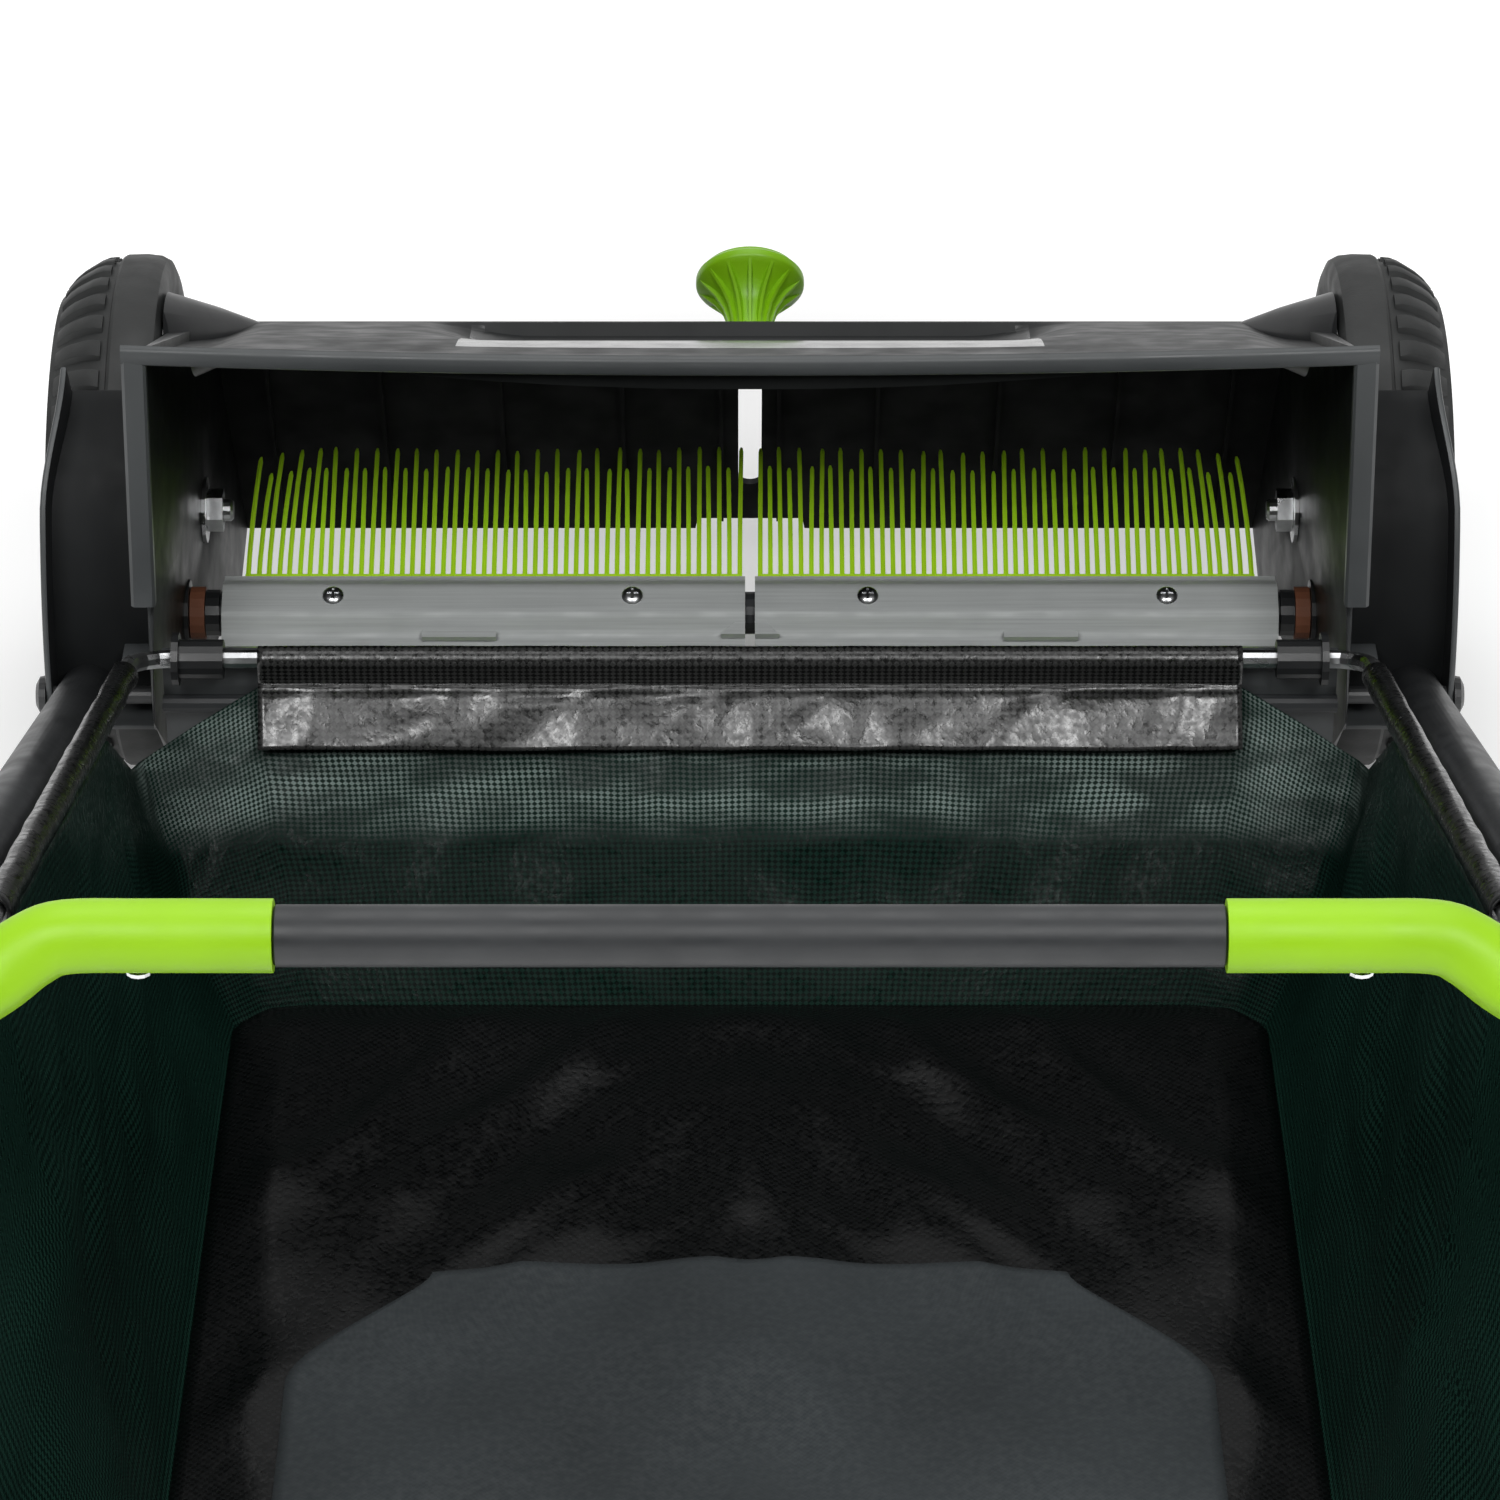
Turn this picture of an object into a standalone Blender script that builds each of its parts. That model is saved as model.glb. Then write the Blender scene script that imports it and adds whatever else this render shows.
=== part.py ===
# Push lawn sweeper: hood, two driving wheels, rotary brush, handle, hung bag and front height adjuster.
# Metres, +Z up, +Y is the way it is pushed, and X is across. y values are measured from the wheel axle.
import math
import bmesh
import bpy
from mathutils import Matrix, Vector

# Driving dimensions
WHEEL_R = 0.116
TYRE_IN_X = 0.2605
TYRE_OUT_X = 0.3100
HOOD_HALF = 0.2575
WALL = 0.003
GAP = 0.0003
AXLE_R = 0.008
THREAD_R = 0.005
NUT_R = 0.0098
AXLE_Y = 0.354185

# Gear drive: ring gear in the wheel, pinion on the brush shaft
GEAR_MODULE = 0.004
RING_TEETH = 42
PINION_TEETH = 10
GEAR_X = 0.2650
GEAR_WIDTH = 0.010
RING_BACK_R = 0.0908
BRUSH_BEARING_DEG = 199.0

# Brush
BRUSH_R = 0.091
BRISTLE_LIFT_DEG = 27.8
SHAFT_R = 0.0095
BUSH_R = 0.0124
PLATE_HALF_WIDTH = 0.0205
PLATE_END_X = 0.2355
PLATE_GAP = 0.0022
STRIP_THICK = 0.005
BRISTLE_ROOT = 0.0125

# Hood outline, y and z
RIM_TOP = (-0.140, 0.2657)
RIM_FOOT = (-0.150, 0.1475)
CREST = (0.045, 0.1900)
FRONT_FOOT = (0.125, 0.0454)
SKIRT = [(-0.168, 0.098), (-0.120, 0.055), (0.100, 0.0300)]
STAY = (-0.159, 0.103)
PAN_TOP = (-0.1595, 0.0983)
PAN_FOOT = (-0.1475, 0.0450)
PAN_THICK = 0.002
CREST_ROUND = 0.012
RIM_BAND = 0.0085
RIM_BOW = 0.015
RIM_SWELL = 0.14
RIM_LIP = 0.004
RIM_EDGE = 0.009
SHOULDER_OUT_X = 0.2473
SHOULDER_X = 0.218
SHOULDER_OUT = (0.005, 0.2130)
SHOULDER_IN = (0.030, 0.1900)
SLOT_HALF = 0.0055
SLOT_TOP = 0.016
SLOT_LENGTH = 0.112
NOTCH_HALF = 0.027
NOTCH_RISE = 0.006

# Height adjuster on the front wall
KNOB_DROP = 0.031
KNOB_R = 0.025
CARRIAGE_LENGTH = 0.112

# Guards behind the wheels
GUARD_IN_R = 0.1215
GUARD_OUT_R = 0.147
GUARD_SKIN = 0.0028
GUARD_IN_X = 0.2578
GUARD_OUT_X = 0.3065
GUARD_TOP_X = 0.2985
GUARD_TAPER_DEG = 26.0
GUARD_FROM_DEG = 128.0
GUARD_TO_DEG = 194.0

# Handle
HANDLE_X = 0.2895
HANDLE_R = 0.0125
TUBE_WALL = 0.0012
PIVOT_R = 0.1405
PIVOT_DEG = 188.0
TUBE_PAST_PIVOT = 0.0075
HANDLE_END = (-0.745, 0.3107)
CROSSBAR = (-0.800, 0.3690)
CROSSBAR_HALF = 0.154
CROSSBAR_R = 0.0102
JOINT_R = 0.0121

# Bag and its rod frame
ROD_R = 0.004
ROD_FRONT = (-0.165, 0.1281)
ROD_REAR = (-0.695, 0.3028)
ROD_HALF = 0.266
ROD_BEND = 0.018
BAG_SKIN = 0.002
BAG_FLOOR_HALF = 0.222
BAG_FLOOR_FRONT = -0.250
BAG_FLOOR_REAR = -0.700
BAG_SIDE_END = (-0.640, 0.2780)
BAG_LIP = (-0.745, 0.0950)
BAG_LIP_HALF = 0.2625
BAG_FRONT_DROP = 0.0125
CLIP_R = 0.0085
HOOK_SPOT = (-0.680, 0.3026)
HOOK_X = (0.262, 0.300)
HOOK_LENGTH = 0.014
HOOK_THICK = 0.004

# Colours, roughness and metal of the finishes
FINISH = {
    "black_plastic": ((0.020, 0.022, 0.023), 0.45, 0.0),
    "lime_plastic": ((0.42, 0.80, 0.03), 0.40, 0.0),
    "rubber": ((0.012, 0.013, 0.013), 0.70, 0.0),
    "zinc": ((0.62, 0.64, 0.65), 0.30, 1.0),
    "grey_steel": ((0.30, 0.31, 0.31), 0.40, 0.8),
    "black_tube": ((0.030, 0.032, 0.034), 0.45, 0.3),
    "fibre": ((0.20, 0.07, 0.03), 0.60, 0.0),
    "green_cloth": ((0.010, 0.030, 0.022), 0.55, 0.0),
}

AXLE_Z = WHEEL_R
GEAR_CENTRES = GEAR_MODULE * (RING_TEETH - PINION_TEETH) / 2
BEARING = math.radians(BRUSH_BEARING_DEG)
BRUSH_Y = GEAR_CENTRES * math.cos(BEARING)
BRUSH_Z = AXLE_Z + GEAR_CENTRES * math.sin(BEARING)
LIFT = math.radians(BRISTLE_LIFT_DEG)

for old in list(bpy.data.objects):
    bpy.data.objects.remove(old, do_unlink=True)

assembly = bpy.data.objects.new("assembly", None)
assembly.location = (0, AXLE_Y, 0)
bpy.context.scene.collection.objects.link(assembly)
finishes = {}


def finish(name):
    if name not in finishes:
        colour, rough, metal = FINISH[name]
        material = bpy.data.materials.new(name)
        material.use_nodes = True
        shader = material.node_tree.nodes["Principled BSDF"]
        shader.inputs["Base Color"].default_value = (*colour, 1)
        shader.inputs["Roughness"].default_value = rough
        shader.inputs["Metallic"].default_value = metal
        finishes[name] = material
    return finishes[name]


def add_piece(name, bm, finish_name, location=(0, 0, 0), smooth_deg=35):
    bmesh.ops.recalc_face_normals(bm, faces=bm.faces)
    mesh = bpy.data.meshes.new(name)
    bm.to_mesh(mesh)
    bm.free()
    mesh.shade_smooth()
    mesh.set_sharp_from_angle(angle=math.radians(smooth_deg))
    mesh.materials.append(finish(finish_name))
    piece = bpy.data.objects.new(name, mesh)
    piece.parent = assembly
    piece.location = location
    bpy.context.scene.collection.objects.link(piece)
    return piece


def add_cutter(name, bm):
    bmesh.ops.triangulate(bm, faces=bm.faces)
    cutter = add_piece(name, bm, "black_plastic")
    cutter.hide_render = True
    cutter.display_type = "WIRE"
    return cutter


def use_cutter(piece, cutter, operation="DIFFERENCE"):
    boolean = piece.modifiers.new(cutter.name, "BOOLEAN")
    boolean.object = cutter
    boolean.operation = operation


def bridge_rings(bm, rings, closed=False):
    pairs = list(zip(rings, rings[1:]))
    if closed:
        pairs.append((rings[-1], rings[0]))
    count = len(rings[0])
    for first, second in pairs:
        for i in range(count):
            j = (i + 1) % count
            bm.faces.new((first[i], first[j], second[j], second[i]))
    if not closed:
        bm.faces.new(rings[0])
        bm.faces.new(rings[-1])


def turned(profile, segments, hollow=False, axis="X"):
    # A profile of (distance along the axis, radius), turned about the axis
    bm = bmesh.new()
    rings = []
    for along, radius in profile:
        ring = []
        for k in range(segments):
            turn = math.tau * k / segments
            u, v = radius * math.cos(turn), radius * math.sin(turn)
            ring.append(bm.verts.new((along, u, v) if axis == "X" else (u, v, along)))
        rings.append(ring)
    bridge_rings(bm, rings, closed=hollow)
    return bm


def prism_x(outline, x_low, x_high):
    # A y, z outline extruded across
    bm = bmesh.new()
    rings = [[bm.verts.new((x, y, z)) for y, z in outline] for x in (x_low, x_high)]
    bridge_rings(bm, rings)
    return bm


def swept(path, radii, sides, closed=False):
    # A round section carried along a path, with its frame turned as little as possible
    points = [Vector(p) for p in path]
    count = len(points)
    bm = bmesh.new()
    rings = []
    normal = None
    for i, point in enumerate(points):
        before = points[i - 1] if i or closed else point
        after = points[(i + 1) % count] if i + 1 < count or closed else point
        tangent = (after - before).normalized()
        if normal is None:
            normal = tangent.orthogonal().normalized()
        normal = (normal - tangent * normal.dot(tangent)).normalized()
        side = tangent.cross(normal)
        radius = radii[i] if isinstance(radii, list) else radii
        ring = []
        for k in range(sides):
            turn = math.tau * k / sides
            ring.append(bm.verts.new(point + radius * (math.cos(turn) * normal + math.sin(turn) * side)))
        rings.append(ring)
    bridge_rings(bm, rings, closed=closed)
    return bm


def hollow_tube(path, radius, sides):
    # The outer skin one way and the inner skin back, closed at both ends
    bm = bmesh.new()
    rings = []
    for points, r in ((path, radius), (path[::-1], radius - TUBE_WALL)):
        ahead = (path[-1] - path[0]).normalized()
        normal = ahead.orthogonal().normalized()
        across = ahead.cross(normal)
        for point in points:
            ring = []
            for k in range(sides):
                turn = math.tau * k / sides
                ring.append(bm.verts.new(point + r * (math.cos(turn) * normal + math.sin(turn) * across)))
            rings.append(ring)
    bridge_rings(bm, rings, closed=True)
    return bm


def gear_outline(teeth, tip_r, root_r, tip_share, root_share, offset):
    # Trapezium teeth: two points at the tip and two at the root of each
    points = []
    pitch = math.tau / teeth
    for k in range(teeth):
        middle = offset + k * pitch
        for r, share in ((root_r, -root_share), (tip_r, -tip_share), (tip_r, tip_share), (root_r, root_share)):
            turn = middle + share * pitch / 2
            points.append((r * math.cos(turn), r * math.sin(turn)))
    return points


def plate_between(outer, inner, x_low, x_high):
    # A ring-shaped plate with the same number of points on both outlines
    bm = bmesh.new()
    rings = []
    for outline, x in ((outer, x_low), (outer, x_high), (inner, x_high), (inner, x_low)):
        rings.append([bm.verts.new((x, y, z)) for y, z in outline])
    bridge_rings(bm, rings, closed=True)
    return bm


def along_front(distance, out=0.0):
    # A point on the front wall: distance down from the crest, and out along its normal
    run = Vector((FRONT_FOOT[0] - CREST[0], FRONT_FOOT[1] - CREST[1])).normalized()
    normal = Vector((-run.y, run.x))
    spot = Vector(CREST) + distance * run + out * normal
    return spot.x, spot.y


def front_matrix(distance, out):
    # Local z along the front wall's normal, local y down the wall
    run = Vector((0, FRONT_FOOT[0] - CREST[0], FRONT_FOOT[1] - CREST[1])).normalized()
    normal = Vector((0, -run.z, run.y))
    y, z = along_front(distance, out)
    turn = Matrix((Vector((1, 0, 0)), run, normal)).transposed().to_4x4()
    return Matrix.Translation((0, y, z)) @ turn


def box(low, high):
    bm = bmesh.new()
    bmesh.ops.create_cube(bm, size=1)
    size = [b - a for a, b in zip(low, high)]
    middle = [(a + b) / 2 for a, b in zip(low, high)]
    bmesh.ops.scale(bm, vec=size, verts=bm.verts)
    bmesh.ops.translate(bm, vec=middle, verts=bm.verts)
    return bm


def cylinder_x(x_low, x_high, y, z, radius, segments):
    bm = turned([(x_low, radius), (x_high, radius)], segments)
    bmesh.ops.translate(bm, vec=(0, y, z), verts=bm.verts)
    return bm


def mirrored(bm, side):
    if side < 0:
        bmesh.ops.scale(bm, vec=(-1, 1, 1), verts=bm.verts)
        bmesh.ops.reverse_faces(bm, faces=bm.faces)
    return bm


def arc_point(radius, degrees):
    turn = math.radians(degrees)
    return radius * math.cos(turn), AXLE_Z + radius * math.sin(turn)


def brush_point(along, up):
    # along the bristles and up from the clamp plates, from the brush axis
    y = BRUSH_Y + along * math.cos(LIFT) - up * math.sin(LIFT)
    z = BRUSH_Z + along * math.sin(LIFT) + up * math.cos(LIFT)
    return y, z


def inset_line(points, inset):
    # The same open line, moved inwards (to the right of its run) by a wall's thickness
    spots = [Vector(p) for p in points]
    result = []
    for i, spot in enumerate(spots):
        runs = []
        if i:
            runs.append((spot - spots[i - 1]).normalized())
        if i + 1 < len(spots):
            runs.append((spots[i + 1] - spot).normalized())
        normals = [Vector((run.y, -run.x)) for run in runs]
        middle = sum(normals, Vector((0, 0))).normalized()
        moved = spot - middle * inset / -middle.dot(normals[0])
        result.append((moved.x, moved.y))
    return result


def roof_line():
    # From the rim over the rounded crest to the foot of the front wall
    rim, crest, foot = Vector(RIM_TOP), Vector(CREST), Vector(FRONT_FOOT)
    before = crest + (rim - crest).normalized() * CREST_ROUND
    after = crest + (foot - crest).normalized() * CREST_ROUND
    middle = (crest * 2 + before + after) / 4
    return [tuple(p) for p in (rim, before, middle, after, foot)]


def add_hood():
    outer = roof_line()
    hood = add_piece("hood_shell", prism_x(outer + SKIRT[::-1] + [RIM_FOOT], -HOOD_HALF, HOOD_HALF), "black_plastic")
    inner = [Vector(p) for p in inset_line(outer, WALL)]
    run_out = 0.07
    inner[0] += (inner[0] - inner[1]).normalized() * run_out
    inner[-1] += (inner[-1] - inner[-2]).normalized() * run_out
    below = -0.03
    hollow = [tuple(p) for p in inner] + [(inner[-1].x, below), (inner[0].x, below)]
    half = HOOD_HALF - WALL
    use_cutter(hood, add_cutter("hood_hollow", prism_x(hollow, -half, half)))
    steps = 8
    band = bmesh.new()
    rings = []
    for k in range(steps + 1):
        share = 2 * k / steps - 1
        bow = RIM_BOW * (1 - share * share)
        back, top = RIM_TOP[0] - bow - RIM_LIP, RIM_TOP[1] + RIM_SWELL * bow
        ring = [(back, top), (back, top - RIM_BAND), (RIM_TOP[0] + 0.001, RIM_TOP[1] - RIM_BAND)]
        ring.append((RIM_TOP[0] + 0.012, RIM_TOP[1] - 0.0060))
        rings.append([band.verts.new((share * (HOOD_HALF + RIM_EDGE), y, z)) for y, z in ring])
    bridge_rings(band, rings)
    use_cutter(hood, add_cutter("rim_band", band), "UNION")

    edge_top, edge_foot = RIM_TOP[1] - 0.003, RIM_FOOT[1]
    edge_back = RIM_LIP - 0.0008
    edge = [(RIM_TOP[0] + 0.002, edge_top), (RIM_TOP[0] - edge_back, edge_top)]
    edge += [(RIM_FOOT[0] - edge_back, edge_foot), (RIM_FOOT[0] + 0.002, edge_foot)]
    for side, word in ((1, "right"), (-1, "left")):
        strip = mirrored(prism_x(edge, HOOD_HALF - WALL - GAP, HOOD_HALF + RIM_EDGE - 3 * GAP), side)
        use_cutter(hood, add_cutter(word + "_rim_edge", strip), "UNION")
        boss = swept([(side * SHOULDER_OUT_X, *SHOULDER_OUT), (side * SHOULDER_X, *SHOULDER_IN)], [0.0150, 0.0030], 12)
        use_cutter(hood, add_cutter(word + "_shoulder", boss), "UNION")
        for hole, y, z, r in (("axle", 0, AXLE_Z, AXLE_R), ("shaft", BRUSH_Y, BRUSH_Z, BUSH_R)):
            drill = cylinder_x(side * 0.20, side * 0.30, y, z, r + GAP, 20)
            use_cutter(hood, add_cutter(word + "_" + hole + "_hole", drill))

    slot = box((-SLOT_HALF, 0, -0.015), (SLOT_HALF, SLOT_LENGTH, 0.015))
    slot.transform(front_matrix(SLOT_TOP, 0))
    use_cutter(hood, add_cutter("adjuster_slot", slot))
    low_y, low_z = FRONT_FOOT
    notch = box((-NOTCH_HALF, low_y - 0.03, low_z - 0.03), (NOTCH_HALF, low_y + 0.03, low_z + NOTCH_RISE))
    use_cutter(hood, add_cutter("front_notch", notch))


def add_guard(side, word):
    skin = GUARD_SKIN
    section = [
        (GUARD_IN_X, GUARD_IN_R), (GUARD_OUT_X, GUARD_IN_R), (GUARD_OUT_X, GUARD_OUT_R),
        (GUARD_OUT_X - skin, GUARD_OUT_R), (GUARD_OUT_X - skin, GUARD_IN_R + skin),
        (GUARD_IN_X + skin, GUARD_IN_R + skin), (GUARD_IN_X + skin, GUARD_OUT_R), (GUARD_IN_X, GUARD_OUT_R),
    ]
    steps = 11
    bm = bmesh.new()
    rings = []
    for k in range(steps + 1):
        degrees = GUARD_FROM_DEG + (GUARD_TO_DEG - GUARD_FROM_DEG) * k / steps
        narrow = (GUARD_OUT_X - GUARD_TOP_X) * max(0, 1 - (degrees - GUARD_FROM_DEG) / GUARD_TAPER_DEG)
        rings.append([bm.verts.new((x - (narrow if x > HANDLE_X else 0), *arc_point(r, degrees))) for x, r in section])
    bridge_rings(bm, rings)
    guard = add_piece(word + "_guard", mirrored(bm, side), "black_plastic")
    y, z = arc_point(PIVOT_R, PIVOT_DEG)
    drill = cylinder_x(side * 0.24, side * 0.32, y, z, 0.0045, 16)
    use_cutter(guard, add_cutter(word + "_guard_hole", drill))


def add_wheel(side, word):
    x_in, x_out = TYRE_IN_X, TYRE_OUT_X
    seat = 0.0953
    tyre = [
        (x_in + 0.003, seat), (x_in, 0.103), (x_in + 0.0005, 0.1105), (x_in + 0.005, 0.1150), (x_in + 0.014, WHEEL_R),
        (x_in + 0.0245, WHEEL_R - 0.0003), (x_in + 0.033, 0.1130), (x_in + 0.041, 0.1075), (x_out - 0.0025, 0.1015),
        (x_out, 0.0975), (x_out - 0.003, seat),
    ]
    rim = [
        (0.2680, AXLE_R + GAP), (0.2680, 0.0180), (0.2925, 0.0205), (0.2945, 0.0918), (0.2645, 0.0918),
        (0.2645, seat - GAP), (0.3060, seat - GAP), (0.3070, 0.0880), (0.2980, 0.0740), (0.2980, 0.0320),
        (0.3020, 0.0240), (0.3020, AXLE_R + GAP),
    ]
    cap = [(0.3023, 0.0225), (0.3050, 0.0220), (0.3078, 0.0180), (0.3092, 0.0090)]
    hub = (0, 0, AXLE_Z)
    add_piece(word + "_tyre", mirrored(turned(tyre, 40, hollow=True), side), "rubber", hub)
    add_piece(word + "_rim", mirrored(turned(rim, 32, hollow=True), side), "black_plastic", hub)
    add_piece(word + "_hub_cap", mirrored(turned(cap, 18), side), "lime_plastic", hub)

    pitch_r = GEAR_MODULE * RING_TEETH / 2
    root_r, tip_r = pitch_r + 1.05 * GEAR_MODULE, pitch_r - 0.8 * GEAR_MODULE
    # The first tooth sits half a pitch away from the line of centres, so a pinion tooth fits in the space there
    mesh_turn = BEARING + math.pi / RING_TEETH
    teeth = gear_outline(RING_TEETH, tip_r, root_r, 0.28, 0.56, mesh_turn)
    bore = []
    for y, z in teeth:
        turn = math.atan2(z, y)
        bore.append((RING_BACK_R * math.cos(turn), RING_BACK_R * math.sin(turn)))
    ring = plate_between(bore, teeth, GEAR_X, GEAR_X + GEAR_WIDTH)
    add_piece(word + "_ring_gear", mirrored(ring, side), "black_plastic", hub)


def add_axle(side, word):
    hub = (0, 0, AXLE_Z)
    axle = [(0.2345, THREAD_R - 0.0010), (0.2357, THREAD_R), (0.2461, THREAD_R), (0.2461, AXLE_R), (0.3018, AXLE_R)]
    add_piece(word + "_axle", mirrored(turned(axle, 16), side), "zinc", hub)
    outline = [(NUT_R * math.cos(math.tau * k / 6), NUT_R * math.sin(math.tau * k / 6)) for k in range(6)]
    bore = [((THREAD_R + GAP) * math.cos(math.tau * k / 6) * 1.16, (THREAD_R + GAP) * math.sin(math.tau * k / 6) * 1.16)
            for k in range(6)]
    nut = plate_between(outline, bore, 0.2390, 0.2460)
    add_piece(word + "_axle_nut", mirrored(nut, side), "zinc", hub)
    ring = [(0.2463, AXLE_R + GAP), (0.2463, 0.0150), (0.2480, 0.0150), (0.2480, AXLE_R + GAP)]
    add_piece(word + "_axle_washer", mirrored(turned(ring, 16, hollow=True), side), "zinc", hub)


def add_brush():
    centre = (0, BRUSH_Y, BRUSH_Z)
    end = GEAR_X + GEAR_WIDTH + 0.002
    journal = 0.008
    shaft = [(-end, journal), (-0.2365, journal), (-0.2365, SHAFT_R), (0.2365, SHAFT_R), (0.2365, journal), (end, journal)]
    add_piece("brush_shaft", turned(shaft, 16), "black_tube", centre)

    flat = STRIP_THICK / 2 + GAP
    rise = SHAFT_R + 0.0006
    fold = 0.0105
    thick = 0.0012
    under = [(-PLATE_HALF_WIDTH, flat), (-fold - 0.004, flat), (-fold + 0.003, rise), (fold - 0.003, rise)]
    under += [(fold + 0.004, flat), (PLATE_HALF_WIDTH, flat)]
    hat = under + [(a, u + thick) for a, u in reversed(under)]
    root, tip = BRISTLE_ROOT, BRUSH_R
    half = STRIP_THICK / 2
    strip = [(root, -half), (tip, -half * 0.7), (tip, half * 0.7), (root, half)]
    for side, word in ((1, "right"), (-1, "left")):
        span = sorted((side * PLATE_GAP, side * PLATE_END_X))
        for turn, face in ((1, "upper"), (-1, "lower")):
            plate = prism_x([brush_point(a * turn, u * turn) for a, u in hat], *span)
            add_piece(word + "_" + face + "_clamp_plate", plate, "grey_steel")
        inner_span = sorted((side * (PLATE_GAP + 0.001), side * (PLATE_END_X - 0.009)))
        for turn, row in ((1, "front"), (-1, "rear")):
            block = prism_x([brush_point(a * turn, u * turn) for a, u in strip], *inner_span)
            add_piece(word + "_" + row + "_bristles", block, "lime_plastic")
        add_brush_end(side, word, centre, journal)
    screw = [(0.0, 0.0045), (0.0013, 0.0042), (0.0022, 0.0025)]
    for side, word in ((1, "right"), (-1, "left")):
        for number, x in enumerate((0.0525, 0.1860), start=1):
            head = turned(screw, 10, axis="Z")
            y, z = brush_point(0.0125, flat + thick + 0.0048)
            head.transform(Matrix.Translation((side * x, y, z)) @ Matrix.Rotation(LIFT - math.radians(38), 4, "X"))
            add_piece(word + "_plate_screw_" + str(number), head, "zinc")


def add_brush_end(side, word, centre, journal):
    hub = [(0.2368, journal + GAP), (0.2368, 0.0105), (0.2430, 0.0105), (0.2430, journal + GAP)]
    add_piece(word + "_shaft_collar", mirrored(turned(hub, 16, hollow=True), side), "black_plastic", centre)
    washer = [(0.2433, journal + GAP), (0.2433, 0.0118), (0.2498, 0.0118), (0.2498, journal + GAP)]
    add_piece(word + "_fibre_washer", mirrored(turned(washer, 18, hollow=True), side), "fibre", centre)
    bush = [
        (0.2502, journal + GAP), (0.2502, 0.0150), (0.2541, 0.0150), (0.2541, BUSH_R), (0.2615, BUSH_R),
        (0.2615, journal + GAP),
    ]
    add_piece(word + "_brush_bush", mirrored(turned(bush, 16, hollow=True), side), "black_plastic", centre)
    pitch_r = GEAR_MODULE * PINION_TEETH / 2
    root_r, tip_r = pitch_r - 1.05 * GEAR_MODULE, pitch_r + 0.8 * GEAR_MODULE
    teeth = gear_outline(PINION_TEETH, tip_r, root_r, 0.20, 0.52, BEARING)
    bore = []
    for y, z in teeth:
        turn = math.atan2(z, y)
        bore.append(((journal + GAP) * math.cos(turn), (journal + GAP) * math.sin(turn)))
    pinion = plate_between(teeth, bore, GEAR_X, GEAR_X + GEAR_WIDTH)
    add_piece(word + "_pinion", mirrored(pinion, side), "black_plastic", centre)


def add_handle():
    y, z = arc_point(PIVOT_R, PIVOT_DEG)
    foot = Vector((0, y, z))
    top = Vector((0, *HANDLE_END))
    aim = (top - foot).normalized()
    for side, word in ((1, "right"), (-1, "left")):
        start = foot - aim * TUBE_PAST_PIVOT
        path = [Vector((side * HANDLE_X, p.y, p.z)) for p in (start, foot + aim * 0.05, top)]
        tube = add_piece(word + "_handle_tube", hollow_tube(path, HANDLE_R, 16), "black_tube")
        drill = cylinder_x(side * 0.24, side * 0.32, y, z, 0.0045, 16)
        use_cutter(tube, add_cutter(word + "_tube_hole", drill))
        bolt = [(0.2552 + 0.0028, 0.0040), (GUARD_OUT_X + GAP, 0.0040), (GUARD_OUT_X + GAP, 0.0085)]
        bolt += [(GUARD_OUT_X + 0.0032, 0.0080), (GUARD_OUT_X + 0.0048, 0.0050)]
        add_piece(word + "_pivot_bolt", mirrored(turned(bolt, 16), side), "zinc", (0, y, z))
        add_corner(side, word, top, aim)
    bar_y, bar_z = CROSSBAR
    bore = CROSSBAR_R - TUBE_WALL
    bar = [(-CROSSBAR_HALF, CROSSBAR_R), (CROSSBAR_HALF, CROSSBAR_R), (CROSSBAR_HALF, bore), (-CROSSBAR_HALF, bore)]
    add_piece("crossbar", turned(bar, 16, hollow=True), "black_tube", (0, bar_y, bar_z))


def add_corner(side, word, top, aim):
    # The green elbow from the side tube's end to the raised crossbar
    bar_y, bar_z = CROSSBAR
    first = top + aim * GAP
    second = top + aim * 0.030
    path = [(HANDLE_X, first.y, first.z), (HANDLE_X, second.y, second.z)]
    path += [(0.2860, bar_y, bar_z - 0.0360), (0.2760, bar_y - 0.0209, bar_z - 0.0250)]
    path += [(0.2600, bar_y - 0.0165, bar_z - 0.0160), (0.2450, bar_y - 0.0075, bar_z - 0.0110)]
    path += [(0.2330, bar_y - 0.0022, bar_z - 0.0040), (0.2215, bar_y - 0.0002, bar_z - 0.0003)]
    path += [(0.1950, bar_y, bar_z), (CROSSBAR_HALF + GAP, bar_y, bar_z)]
    radii = [0.0150, 0.0150, 0.0146, 0.0140, 0.0134, 0.0128, 0.0124, 0.0122, JOINT_R, JOINT_R]
    elbow = swept([(side * x, y, z) for x, y, z in path], radii, 16)
    add_piece(word + "_corner_joint", elbow, "lime_plastic")
    head = turned([(0.0, 0.0045), (-0.0014, 0.0043), (-0.0026, 0.0024)], 12, axis="Z")
    spot = (side * 0.1985, bar_y, bar_z - JOINT_R - GAP)
    add_piece(word + "_joint_screw", head, "zinc", spot)


def rod_path():
    # An open frame in its own sloping plane: one side, the front with rounded corners, the other side
    front, rear = Vector((0, *ROD_FRONT)), Vector((0, *ROD_REAR))
    run = (rear - front).normalized()
    length = (rear - front).length
    arc_steps = 4
    half_path = []
    for k in range(arc_steps + 1):
        turn = math.pi / 2 * k / arc_steps
        x = ROD_HALF - ROD_BEND + ROD_BEND * math.cos(turn)
        half_path.append((x, ROD_BEND - ROD_BEND * math.sin(turn)))
    flat = [(ROD_HALF, length)] + half_path
    flat += [(-x, along) for x, along in reversed(flat)]
    return [(x, *(front + run * along).yz) for x, along in flat]


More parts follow.
